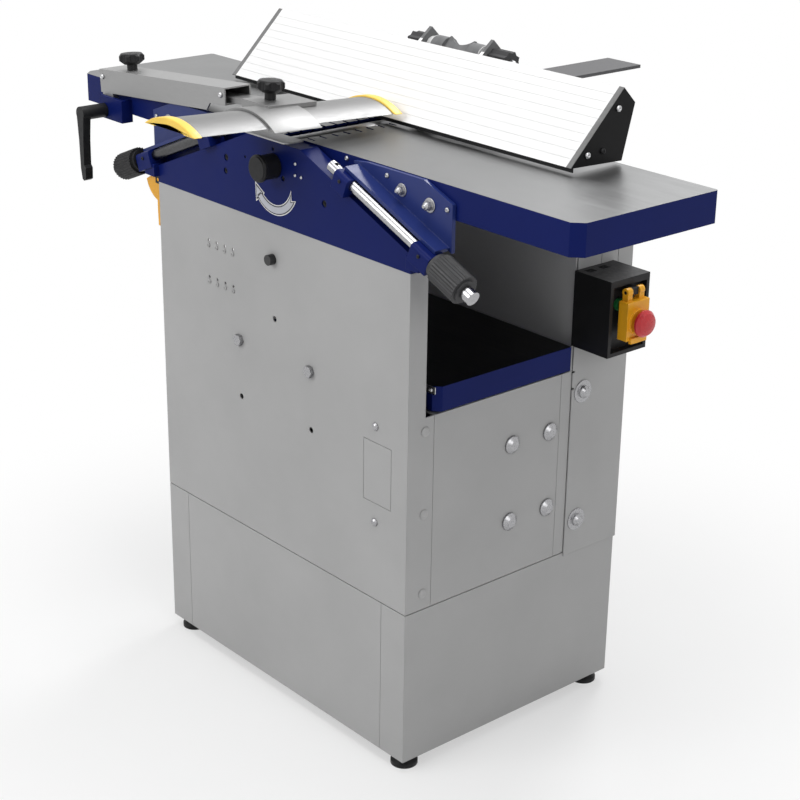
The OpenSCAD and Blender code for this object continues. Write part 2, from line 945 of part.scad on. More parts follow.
// Sprocket with a hub on a roller's rear end
module sprocket(r, x, z) {
    plate_xz(feed_y, feed_y + sprocket_t)
        translate([x, z])
            polygon(star(round(r * 0.6), r, r - 3));
}

// Feed roller between its blocks with its sprocket behind the bay wall
module feed_roller(x) {
    bar_y(roller_shaft_r, front_y + frame_t + cut, feed_y + sprocket_t + 2, x, roller_z);
    sprocket(sprocket_r, x, roller_z);
}

module feed_roller_in() {
    color(steel) {
        feed_roller(-roller_x);
        plate_xz(housing_front + cut, housing_back - cut)
            translate([-roller_x, roller_z])
                polygon(star(24, roller_r, roller_r - 1));
    }
}

module feed_roller_out() {
    color(steel) {
        feed_roller(roller_x);
        bar_y(roller_r, housing_front + cut, housing_back - cut, roller_x, roller_z);
    }
}

// Friction wheel on the cutter's hub, with the chain's driving sprocket and its axle
module reduction_wheel() {
    tread = hub_w - 2;
    color([0.3, 0.3, 0.3]) {
        difference() {
            bar_y(friction_r, hub_y + 1, hub_y + 1 + tread, 0, idler_z);
            for (a = [0 : 60 : 300])
                translate([0, 0, idler_z])
                    rotate([0, a, 0])
                        bar_y(26, hub_y, hub_y + tread + 2, 78, 0);
        }
        sprocket(idler_r, 0, idler_z);
        bar_y(7, bay_front + gap, hub_y + tread + 6, 0, idler_z);
    }
}

module feed_chain() {
    chain_t = 4;
    rounds = [
        [-roller_x, roller_z, sprocket_r + gap],
        [0, idler_z, idler_r + gap],
        [roller_x, roller_z, sprocket_r + gap],
    ];
    color([0.35, 0.33, 0.3])
        plate_xz(feed_y, feed_y + sprocket_t)
            difference() {
                loop_2d(grown(rounds, chain_t));
                loop_2d(rounds);
            }
}

// Anti-kickback fingers hanging on their rod
module kickback_fingers() {
    finger_w = 8;
    pitch = (housing_back - housing_front - 24) / finger_n;
    tip_z = roller_z - 18;
    color([0.5, 0.5, 0.52])
        for (i = [0 : finger_n - 1])
            let (y = housing_front + 12 + pitch * (i + 0.5))
                plate_xz(y - finger_w / 2, y + finger_w / 2)
                    difference() {
                        union() {
                            translate([rod_finger_x, roller_z])
                                circle(r = 9);
                            polygon([[rod_finger_x - 8, roller_z], [rod_finger_x + 8, roller_z],
                                [rod_finger_x + 16, tip_z], [rod_finger_x + 8, tip_z]]);
                        }
                        translate([rod_finger_x, roller_z])
                            circle(r = rod_finger_r + fit);
                    }
}

// Thicknesser table: a ribbed casting with a bevelled corner
module thickness_table() {
    half = thick_len / 2;
    bevel = 10;
    rib = 8;
    top = 10;
    color([0.2, 0.2, 0.21])
        difference() {
            translate([0, 0, thick_low])
                linear_extrude(thick_h)
                    polygon([[-half, thick_front + bevel], [-half + bevel, thick_front],
                        [half - bevel, thick_front],
                        [half, thick_front + bevel], [half, thick_back], [-half, thick_back]]);
            for (x = [[-half + wall, -ram_r - 20], [ram_r + 20, half - wall]],
                    y = [[thick_front + wall, lift_y - rib], [lift_y + rib, thick_back - wall]])
                box([x[0] + bevel, y[0] + bevel, thick_low - cut], [x[1], y[1], bed_z - top]);
        }
}

module column_tube() {
    tube_low = 60;
    tube_top = sill_edge - 3;
    flange_r = ram_r + 34;
    color([0.4, 0.41, 0.43])
        difference() {
            union() {
                bar_z(ram_r + 8, tube_low, tube_top, 0, lift_y);
                bar_z(flange_r, floor_z, floor_z + 10, 0, lift_y);
            }
            bar_z(ram_r + fit, tube_low - cut, tube_top + cut, 0, lift_y);
        }
}

module column_ram() {
    ram_len = 352;
    color(steel)
        difference() {
            bar_z(ram_r, thick_low - ram_len, thick_low, 0, lift_y);
            bar_z(ram_r - 8, thick_low - ram_len - cut, thick_low - 12, 0, lift_y);
        }
}

// Lifting screw, fixed under the table and drawn through the turning nut
module lift_screw() {
    plate = 22;
    color(steel) {
        bar_z(screw_r, screw_low, thick_low, screw_x, lift_y);
        box([screw_x - plate, lift_y - 7.5, thick_low - 8], [screw_x + plate, lift_y + 7.5, thick_low]);
    }
}

// Nut of the lifting screw with its bevel teeth
module lift_nut() {
    slope = 1 - 15 / bevel_r;
    color([0.72, 0.58, 0.3])
        difference() {
            union() {
                bar_z(bevel_r, nut_z + gap, nut_z + 7, screw_x, lift_y);
                translate([screw_x, lift_y, nut_z + 7])
                    cylinder(r1 = bevel_r, r2 = bevel_r * (1 - slope), h = pinion_r * slope);
            }
            bar_z(screw_r + fit, nut_z - cut, nut_z + 2 * pinion_r, screw_x, lift_y);
        }
}

// Pedestal that carries the nut and the crank shaft
module lift_gearbox() {
    half = 35;
    post = [screw_x - 60, screw_x - 45];
    crank_r = 8;
    color([0.4, 0.41, 0.43])
        difference() {
            union() {
                box([screw_x - 60, lift_y - half, floor_z], [screw_x + half - 2, lift_y + half, nut_z]);
                box([post[0], lift_y - half, nut_z - cut], [post[1], lift_y + half, crank_z + 16]);
            }
            bar_z(screw_r + cut, floor_z - cut, nut_z + cut, screw_x, lift_y);
            bar_x(crank_r + fit, post[0] - cut, post[1] + cut, lift_y, crank_z);
        }
}

// Crank shaft with its bevel pinion
module crank_shaft() {
    slope = 0.5;
    x0 = screw_x - bevel_r - gap;
    color(steel) {
        bar_x(8, wheel_x - 10, x0, lift_y, crank_z);
        bar_x(pinion_r, x0 - 8, x0, lift_y, crank_z);
        translate([x0, lift_y, crank_z])
            rotate([0, 90, 0])
                cylinder(r1 = pinion_r, r2 = pinion_r * (1 - slope), h = bevel_r * slope);
    }
}

// Handwheel with its spokes and grip
module handwheel() {
    rim = 9;
    color(black)
        difference() {
            union() {
                translate([wheel_x, lift_y, crank_z])
                    rotate([0, 90, 0])
                        rotate_extrude()
                            translate([wheel_r - rim, 0])
                                circle(r = rim);
                bar_x(18, wheel_x - 12, wheel_x + 12, lift_y, crank_z);
                for (a = [0, 120, 240])
                    translate([wheel_x, lift_y, crank_z])
                        rotate([a, 0, 0])
                            box([-5, -8, 0], [5, 8, wheel_r - rim]);
                translate([wheel_x - 58, lift_y, crank_z + wheel_r - rim])
                    rotate([0, 90, 0])
                        cylinder(r1 = 12, r2 = 9, h = 54);
            }
            bar_x(8, wheel_x - 12, wheel_x + 14, lift_y, crank_z);
        }
}

// Switch box with its recess and the hinge block of the flap
module switch_box() {
    rim = 6;
    recess = 12;
    block = flap_hook - hook_half - gap;
    x1 = switch_x + switch_d;
    color(black)
        difference() {
            box([switch_x, switch_y, switch_low], [x1, switch_y + switch_w, switch_low + switch_h]);
            box([x1 - recess, switch_y + rim, switch_low + rim],
                [x1 + cut, switch_y + switch_w - rim, switch_low + switch_h - rim - 4]);
            for (y = [17, 44])
                bar_x(9, switch_x + 8, switch_x + 20, switch_y + y, switch_low + switch_h + 5);
            bar_x(9 + gap, x1 - recess - 10, x1, start_y, start_z);
        }
    color(black) {
        box([x1 - recess - cut, switch_mid - block, flap_top - 5],
            [x1 + gap + 9, switch_mid + block, flap_top + 5]);
        bar_y(flap_pin, switch_mid - flap_hook - hook_half, switch_mid + flap_hook + hook_half,
            x1 + gap + 6, flap_top);
    }
}

// Hinged yellow flap over the switch: a block on two hooks, with a collar round the mushroom and a lip
module switch_flap() {
    x0 = switch_x + switch_d + gap;
    half = 22;
    block_top = flap_top - 12;
    foot = flap_top - flap_h;
    lip = 4;
    color([0.94, 0.67, 0.08])
        difference() {
            union() {
                box([x0, switch_mid - half, foot], [x0 + flap_t, switch_mid + half, block_top]);
                for (y = [-flap_hook, flap_hook]) {
                    bar_y(6, switch_mid + y - hook_half, switch_mid + y + hook_half, x0 + 6, flap_top);
                    box([x0 + 1, switch_mid + y - hook_half, block_top - cut],
                        [x0 + 11, switch_mid + y + hook_half, flap_top]);
                }
                bar_x(18, x0 + flap_t - cut, x0 + flap_t + flap_collar, switch_mid, mushroom_z);
                box([x0 + flap_t - cut, switch_mid - half + 6, foot - lip],
                    [x0 + flap_t + lip, switch_mid + half - 6, foot + lip]);
            }
            bar_x(6 + gap, x0 - cut, x0 + flap_t + flap_collar + cut, switch_mid, mushroom_z);
            bar_y(flap_pin + fit, switch_mid - half, switch_mid + half, x0 + 6, flap_top);
        }
}

module stop_mushroom() {
    x0 = switch_x + switch_d + gap + flap_t + flap_collar;
    travel = 4;
    color([0.8, 0.13, 0.17]) {
        bar_x(6, x0 - flap_t - flap_collar - 2, x0 + travel + 2, switch_mid, mushroom_z);
        translate([x0 + travel + 1, switch_mid, mushroom_z])
            rotate([0, 90, 0])
                rotate_extrude()
                    polygon([[0, 0], [mushroom_r - 3, 0], [mushroom_r, 3], [mushroom_r, 6],
                        [mushroom_r * 0.8, 11], [mushroom_r * 0.4, 13], [0, 13.5]]);
    }
}

module start_button() {
    x1 = switch_x + switch_d;
    color([0.1, 0.5, 0.2])
        bar_x(9, x1 - 17, x1 - 7, start_y, start_z);
}

stop_x = -cab_half;
stop_z = panel_edge + 1;
stop_w = 22;
stop_y = front_y + 3;

// Base plate of the stop paddle on the outfeed end, with its two ears
module stop_base() {
    back = 2;
    ear = 4;
    color(black)
        difference() {
            union() {
                box([stop_x - back, stop_y, sill_edge + 140],
                    [stop_x, stop_y + stop_w + 2 * ear + 1, stop_z + 6]);
                for (y = [stop_y, stop_y + stop_w + ear + 1])
                    box([stop_x - 14, y, stop_z - 6], [stop_x, y + ear, stop_z + 6]);
            }
            bar_y(3, stop_y - cut, stop_y + stop_w + 2 * ear + 2, stop_x - 8, stop_z);
        }
}

// Yellow stop paddle: a rounded head with a tapering tongue
module outfeed_stop() {
    y0 = stop_y + 4.5;
    head = 40;
    color([0.9, 0.6, 0.1])
        translate([stop_x - 8, 0, stop_z]) {
            plate_xz(y0, y0 + stop_w) {
                intersection() {
                    translate([2, 4])
                        circle(r = head);
                    polygon([[5, 0], [-26, 0], [-head, -8], [-head, -head], [0.4, -38]]);
                }
                polygon([[3, -16], [-9, -30], [-9, -50], [-8, -74], [-4, -74]]);
            }
            bar_y(3 - fit, y0 - 4, y0 + stop_w + 4, 0, 0);
        }
}

// Brackets on the bay's lid with the pins that the tables swing on
module hinge_brackets() {
    inner = arm_plates[0] + arm_t + cut;
    outer = arm_plates[1] - cut;
    color(blue)
        both_ends() {
            box([inner, hinge_y - 14, lid_z], [outer, hinge_y + 14, hinge_z + 14]);
            bar_x(hinge_r, arm_plates[0] - 2, arm_plates[1] + arm_t + 2, hinge_y, hinge_z);
        }
}

// Swinging carrier: slotted ways, arms to the hinge, cross bar and the fence rail
module swing_frame() {
    way_low = roller_z - 2;
    slot_half = 5.1;
    outer = arm_plates[1] + arm_t;
    color(blue)
        difference() {
            union() {
                both_ends() {
                    box([118, way_y, way_low], [outer + 6, way_y + way_t, table_z - 10]);
                    for (x = arm_plates) {
                        plate_yz(x, x + arm_t)
                            polygon([[way_y, way_low], [way_y + way_t, way_low], [way_y + 15, hinge_z - 14],
                                [hinge_y, hinge_z - 14], [hinge_y, hinge_z + 14], [bar_back, bar_z + cut],
                                [bar_front, bar_z + cut], [way_y + way_t, table_z - 10],
                                    [way_y, table_z - 10]]);
                        bar_x(14, x, x + arm_t, hinge_y, hinge_z);
                    }
                }
                box([-outer, bar_front, bar_z], [outer, bar_back, bar_z + bar_t]);
                box([fence_x - 15, bar_front, bar_z + bar_t - cut], [fence_x + 15, bar_back, rail_z + cut]);
                box([fence_x - rail_w / 2, rail_front, rail_z],
                    [fence_x + rail_w / 2, rail_rear, rail_z + rail_t]);
            }
            both_ends() {
                bar_x(hinge_r + fit, arm_plates[0] - cut, outer + cut, hinge_y, hinge_z);
                for (x = stud_x)
                    translate([x, 0, stud_z])
                        rotate([0, incline, 0])
                            for (u = [-infeed_travel - 1, infeed_travel + 1])
                                bar_y(slot_half, way_y - cut, way_y + way_t + cut, u, 0);
                for (x = stud_x)
                    translate([x, 0, stud_z])
                        rotate([0, incline, 0])
                            box([-infeed_travel - 1, way_y - cut, -slot_half],
                                [infeed_travel + 1, way_y + way_t + cut, slot_half]);
            }
        }
}

// A planer table on the side s of the cutter, with its lip, ribs, rear pads and shoulder studs
module planer_table(s, lip, reach) {
    pocket = lip + 32;
    rib_x = [pocket + (reach - pocket) / 3, pocket + 2 * (reach - pocket) / 3];
    pitch = table_w / lip_slots;
    slot_w = 4;
    slot_len = 18;
    rear_corner = 3;
    difference() {
        union() {
            difference() {
                translate([0, 0, skirt_z])
                    linear_extrude(skirt_h)
                        polygon(cut_end(s * lip, s * reach, table_front, table_back, corner, rear_corner));
                translate([0, 0, skirt_z - cut])
                    linear_extrude(skirt_h - table_t + cut)
                        polygon(cut_end(s * pocket, s * (reach - wall), table_front + wall, table_back - wall,
                            corner, rear_corner));
            }
            for (x = rib_x)
                box([s * x - wall / 2, table_front + cut, skirt_z + 8],
                    [s * x + wall / 2, table_back - cut, table_z - cut]);
            for (x = stud_x) {
                box([s * x - 24, table_back - cut, skirt_z], [s * x + 24, way_y - gap, table_z - 12]);
                bar_y(5, table_back, way_y + way_t + 3.5, s * x, stud_z);
                bar_y(8, way_y + way_t + gap, way_y + way_t + 3.5, s * x, stud_z);
            }
        }
        bar_y(lip_r, table_front - cut, table_back + cut, 0, cutter_z);
        box([-relief_x, table_front - cut, skirt_z - cut], [relief_x, way_y, skirt_z + 5]);
        for (i = [0 : lip_slots - 1])
            let (y = table_front + pitch * (i + 0.5))
                box([min(s * (lip - cut), s * (lip + slot_len)), y - slot_w / 2, skirt_z],
                    [max(s * (lip - cut), s * (lip + slot_len)), y + slot_w / 2, table_z + cut]);
    }
}

module infeed_table() {
    color([0.6, 0.6, 0.6])
        planer_table(1, lip_in, infeed_len);
}

// Outfeed table with the lug that carries the guard's arm
module outfeed_table() {
    lug_x = [arm_x - 15, arm_x + 49];
    lug_y = arm_front - 8;
    lug_z = [arm_z - 13, arm_z + 22];
    color([0.6, 0.6, 0.6])
        difference() {
            union() {
                planer_table(-1, lip_out, outfeed_len);
                box([lug_x[0], lug_y, lug_z[0]], [lug_x[1], lug_y + 6, lug_z[1]]);
                box([lug_x[1] - 6, lug_y, lug_z[0]], [lug_x[1], table_front + cut, lug_z[1]]);
            }
            bar_y(6 + gap, lug_y - cut, lug_y + 7, arm_x, arm_z);
        }
}

// Front bracket of a table: a plate on the skirt and a flange over the guide rod
module table_bracket() {
    y0 = table_front - bracket_t;
    flange_low = lug_top + 0.5;
    flange_top = flange_low + 5;
    color(blue)
        union() {
            difference() {
                plate_xz(y0, table_front)
                    polygon([[142, table_z - 4], [170, table_z - 1], [282, table_z - 1], [337, table_z - 22],
                        [337, skirt_z - 50], [rod_x, rod_z - 60]]);
                along_rod()
                    box([-60, -20, -200], [300, 60, flange_low]);
            }
            along_rod()
                box([0, -0.5, flange_low], [bracket_end, y0 - rod_y + cut, flange_top]);
        }
}

module infeed_bracket() {
    table_bracket();
}

module outfeed_bracket() {
    mirror([1, 0, 0])
        table_bracket();
}

// Guard arm: a folded channel with a tab to its pivot and a tray for the holder's bar
module guard_arm() {
    y0 = arm_front;
    y1 = arm_front + arm_w;
    color([0.68, 0.68, 0.68])
        arm_frame()
            difference() {
                union() {
                    plate_xz(y0, y0 + arm_t2)
                        polygon([[-19, arm_low], [268, arm_low], [278, tray], [arm_len, tray],
                            [arm_len, arm_top],
                            [-19, arm_top]]);
                    plate_xz(y0, y0 + arm_t2)
                        polygon([[-14, arm_low + cut], [-14, -8], [-8, -14], [8, -14], [14, -8],
                            [14, arm_low + cut]]);
                    box([-19, y0, arm_top - arm_t2], [arm_len, y1, arm_top]);
                    box([-19, y1 - arm_t2, arm_top - 14], [arm_len, y1, arm_top]);
                    box([tray_u, y1 - arm_t2, tray], [arm_len, y1, arm_top]);
                    box([tray_u, y0, tray], [arm_len, y1, tray + arm_t2]);
                }
                bar_y(6 + gap, y0 - cut, y0 + arm_t2 + cut, 0, 0);
                bar_z(6, arm_top - arm_t2 - cut, arm_top + cut, 40, y0 + arm_w / 2);
            }
}

// Ratchet lever that clamps the arm, with its bolt
module guard_lever() {
    hub = 11;
    y1 = arm_front - 8 - gap;
    y0 = y1 - 45;
    drop = 106;
    color(black)
        difference() {
            union() {
                bar_y(hub, y0, y1, arm_x, arm_z);
                translate([arm_x, 0, arm_z])
                    plate_xz(y0, y0 + 13)
                        polygon([[-10, 0], [10, 0], [6, -drop * 0.4], [5, -drop * 0.76], [9, -drop * 0.8],
                            [8, -drop * 0.97], [2, -drop], [-2, -drop * 0.98], [-5.5, -drop * 0.82],
                            [-6.5, -drop * 0.4]]);
                bar_y(6, y1 - cut, arm_front + arm_t2 + 3, arm_x, arm_z);
                bar_y(9, arm_front + arm_t2 + gap, arm_front + arm_t2 + 3, arm_x, arm_z);
            }
        }
}

module guard_arm_knob() {
    color(black)
        arm_frame()
            translate([40, arm_front + arm_w / 2, arm_top + gap]) {
                lobed_knob(20, 18, 8, 9);
                translate([0, 0, -8])
                    cylinder(r = 5, h = 9);
            }
}

// Holder: a bar in the arm's tray, a flat block and a saddle that hooks round the guard's edges
module guard_holder() {
    r_in = arch_r + gap;
    r_out = r_in + 3.2;
    side = sqrt(r_out * r_out - arch_drop * arch_drop);
    hook = guard_w / 2 - 4;
    flat_x = [-52, 10];
    flat_y = [-200, -118];
    color([0.8, 0.8, 0.8])
        difference() {
            union() {
                guard_frame()
                    plate_xz(holder_mid - holder_half, holder_mid + holder_half) {
                        arch_2d(r_out, r_in, -3.5);
                        for (s = [-1, 1])
                            translate([s > 0 ? hook : -side, -3.5])
                                square([side - hook, 3.2]);
                    }
                guard_frame()
                    box([flat_x[0], flat_y[0], guard_rise - 10], [flat_x[1], flat_y[1], guard_rise + 6]);
                arm_frame() {
                    box([170, arm_front + 9, tray + arm_t2 + gap],
                        [412, arm_front + 41, tray + arm_t2 + gap + 8]);
                    box([392, arm_front + 9, tray - 2], [426, arm_front + 41, tray + arm_t2 + gap + 8]);
                }
            }
            guard_frame()
                plate_xz(holder_mid - 2 * holder_half, holder_mid + 2 * holder_half)
                    arch_2d(r_in, 1, -gap);
            guard_frame()
                bar_z(6, guard_rise, guard_rise + 20, knob_spot[0], knob_spot[1]);
        }
}

module guard_holder_knob() {
    color(black)
        guard_frame()
            translate([knob_spot[0], knob_spot[1], guard_rise + 6 + gap]) {
                lobed_knob(20, 18, 8, 10);
                translate([0, 0, -5])
                    cylinder(r = 5, h = 6);
            }
}

// Arched guard sheet
module guard_plate() {
    color([0.72, 0.72, 0.72])
        guard_frame()
            plate_xz(cap_len - guard_len, -cap_len)
                arch_2d(arch_r, arch_r - guard_t, 0);
}

module guard_caps() {
    color(yellow)
        guard_frame()
            for (y = [-guard_len, -cap_len])
                plate_xz(y, y + cap_len)
                    arch_2d(arch_r + cap_out, arch_r - guard_t - 5, 0);
}

// Fence carriage: a saddle on the rail, arms over the table and the fence's hinge pins
module fence_carriage() {
    half = rail_w / 2;
    cheek = 14;
    arm_half = 12;
    arm_y = fence_y + (fence_pin_n + fence_pin_h) * sin(fence_lean);
    pin_z = fence_z + (fence_pin_h - fence_pin_n) * cos(fence_lean);
    arm_low_z = bar_z + bar_t + 2.2;
    saddle_y = bar_front + 3;
    saddle_top = rail_z + rail_t + 12;
    color([0.4, 0.4, 0.42]) {
        box([fence_x - half - cheek, saddle_y, rail_z + rail_t + gap],
            [fence_x + half + cheek, saddle_y + 54, saddle_top]);
        for (s = [-1, 1]) {
            translate([fence_x + s * (half + gap + cheek / 2), 0, 0])
                box([-cheek / 2, saddle_y, rail_z + 0.5], [cheek / 2 - gap, saddle_y + 54, saddle_top]);
            translate([fence_x + s * fence_arms, 0, 0]) {
                box([-arm_half, arm_y, arm_low_z], [arm_half, saddle_y, pin_z]);
                box([-arm_half, saddle_y - 10, arm_low_z], [arm_half, saddle_y + cut, saddle_top]);
                bar_x(4.5, -arm_half, arm_half, arm_y, pin_z);
                bar_x(fence_pin_r, -arm_half - 6, arm_half + 6, arm_y, pin_z);
            }
        }
    }
}

// Bracket of the clamp rod: two side plates with bushes and a casting of two round bosses between them
module clamp_bracket() {
    inner = clamp_half - clamp_t / 2;
    plate_top = fence_h + 36;
    bush = 11.5;
    boss = [26, inner - bush + cut];
    boss_r = 18;
    web = 12;
    web_low = clamp_h - 7;
    dip = 30;
    for (x = [-inner - clamp_t, inner])
        plate_yz(x, x + clamp_t)
            polygon([[fence_t - cut, 92], [fence_t - cut, fence_h - 3], [14.5, plate_top], [58, plate_top],
                [58, fence_h - 8], [30, 92]]);
    for (x = [-inner - cut, inner - bush])
        bar_x(15, x, x + bush + cut, clamp_n, clamp_h);
    for (x = [-boss[1], boss[0]])
        bar_x(boss_r, x, x + boss[1] - boss[0], clamp_n, clamp_h);
    plate_xz(clamp_n - web, clamp_n + web)
        difference() {
            translate([-boss[0] - cut, web_low])
                square([2 * (boss[0] + cut), boss_r + 5]);
            translate([0, clamp_h + dip + 5])
                circle(r = dip);
        }
}

// Grooved fence face with its end plates and the bracket of the clamp rod
module fence_face() {
    grooves = 9;
    groove_d = 0.4;
    groove_w = 0.8;
    arm_half = 13;
    plate = [[0, -0.5], [71, 65], [32, fence_h + 1], [0, fence_h + 1]];
    color([0.93, 0.93, 0.93])
        fence_frame()
            difference() {
                union() {
                    plate_yz(fence_left, fence_left + fence_len)
                        difference() {
                            polygon([[0, 0], [fence_t, fence_t], [fence_t, fence_h], [0, fence_h]]);
                            for (i = [1 : grooves])
                                translate([-cut, fence_h * i / (grooves + 1) - groove_w / 2])
                                    square([cut + groove_d, groove_w]);
                        }
                    for (x = [fence_left - plate_end, fence_left + fence_len])
                        plate_yz(x, x + plate_end)
                            polygon(plate);
                    translate([clamp_mid, 0, 0])
                        clamp_bracket();
                }
                for (s = [-1, 1])
                    translate([fence_x + s * fence_arms, 0, 0]) {
                        box([-arm_half, 1.2, -cut], [arm_half, fence_t + cut, fence_pin_h + 12]);
                        bar_x(fence_pin_r + fit, -arm_half - 7, arm_half + 7, fence_pin_n, fence_pin_h);
                    }
                bar_x(4 + fit, fence_left, fence_left + fence_len, clamp_n, clamp_h);
            }
}

// Clamp rod through the fence bracket with a knob at each end
module fence_knobs() {
    reach = clamp_half + clamp_t / 2 + gap;
    x0 = clamp_mid - reach;
    x1 = clamp_mid + reach;
    head = 34;
    color([0.28, 0.28, 0.29])
        fence_frame() {
            bar_x(4, x0 - cut, x1 + cut, clamp_n, clamp_h);
            for (x = [x0 - head, x1])
                translate([x, clamp_n, clamp_h])
                    rotate([0, 90, 0])
                        linear_extrude(head)
                            polygon(star(9, 17.5, 14.5));
        }
}

placed() base_ends();
placed() base_panels();
placed() levelling_feet();
placed() base_plate();
placed() front_panel();
placed() end_panels();
placed() bay_wall();
placed() rear_cover();
placed() belt_cover();
placed() panel_fasteners();
placed() frame_front();
placed() gap_plate();
placed() shaft_cap();
placed() guide_rods();
placed() infeed_knob();
placed() outfeed_knob();
placed() cutter_bearings();
placed() cutterblock();
placed() knives();
placed() knife_wedges();
placed() cutter_pulley();
placed() drive_belt();
placed() motor();
placed() motor_pulley();
placed() feed_bearings();
placed() feed_roller_in();
placed() feed_roller_out();
placed() reduction_wheel();
placed() feed_chain();
placed() kickback_fingers();
placed() thickness_table();
placed() column_tube();
placed() column_ram();
placed() lift_screw();
placed() lift_nut();
placed() lift_gearbox();
placed() crank_shaft();
placed() handwheel();
placed() switch_box();
placed() switch_flap();
placed() stop_mushroom();
placed() start_button();
placed() stop_base();
placed() outfeed_stop();
placed() hinge_brackets();
placed() swing_frame();
placed() infeed_table();
placed() infeed_bracket();
placed() outfeed_table();
placed() outfeed_bracket();
placed() guard_arm();
placed() guard_lever();
placed() guard_arm_knob();
placed() guard_holder();
placed() guard_holder_knob();
placed() guard_plate();
placed() guard_caps();
placed() fence_carriage();
placed() fence_face();
placed() fence_knobs();
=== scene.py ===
"""Dresses the combination planer thicknesser: materials, small fittings, floor, light and camera."""
import json
import math

import bmesh
import bpy
from mathutils import Matrix, Vector


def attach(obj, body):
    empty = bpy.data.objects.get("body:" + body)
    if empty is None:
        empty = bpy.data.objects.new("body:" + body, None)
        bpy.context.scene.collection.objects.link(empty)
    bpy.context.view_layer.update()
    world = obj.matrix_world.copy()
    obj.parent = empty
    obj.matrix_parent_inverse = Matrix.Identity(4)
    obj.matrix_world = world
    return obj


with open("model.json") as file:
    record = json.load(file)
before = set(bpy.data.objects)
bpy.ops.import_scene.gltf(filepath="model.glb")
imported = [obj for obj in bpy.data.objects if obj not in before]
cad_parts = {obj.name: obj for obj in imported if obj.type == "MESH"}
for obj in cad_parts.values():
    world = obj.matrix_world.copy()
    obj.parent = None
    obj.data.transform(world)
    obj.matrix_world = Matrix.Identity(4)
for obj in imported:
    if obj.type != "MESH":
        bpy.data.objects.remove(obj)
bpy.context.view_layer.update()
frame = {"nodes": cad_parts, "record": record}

# Places of the source, in metres: the drawing's own zero sits at this offset from the frame's origin
MID_X = 0.001
MID_Y = 0.0987
TABLE_Z = 0.876
BED_Z = 0.589
FRONT_Y = -0.1585
BRACKET_Y = -0.1325
SKIRT_Y = -0.1265
CORNER_Y = -0.1275
FENCE_Y = 0.0268
FENCE_Z = TABLE_Z + 0.0095
FENCE_RIGHT = 0.377
FENCE_LEFT = -0.343
FENCE_T = 0.012
CLAMP_X = 0.035
LEAN = math.radians(45)
TO_FRONT = (0, -1, 0)
# Room for rounding where a material asks on which side of a face it is
HAIR = 0.0002


def at(x, y, z):
    """A point of the drawing, in metres, in the frame."""
    return Vector((x - MID_X, y - MID_Y, z))


# Materials

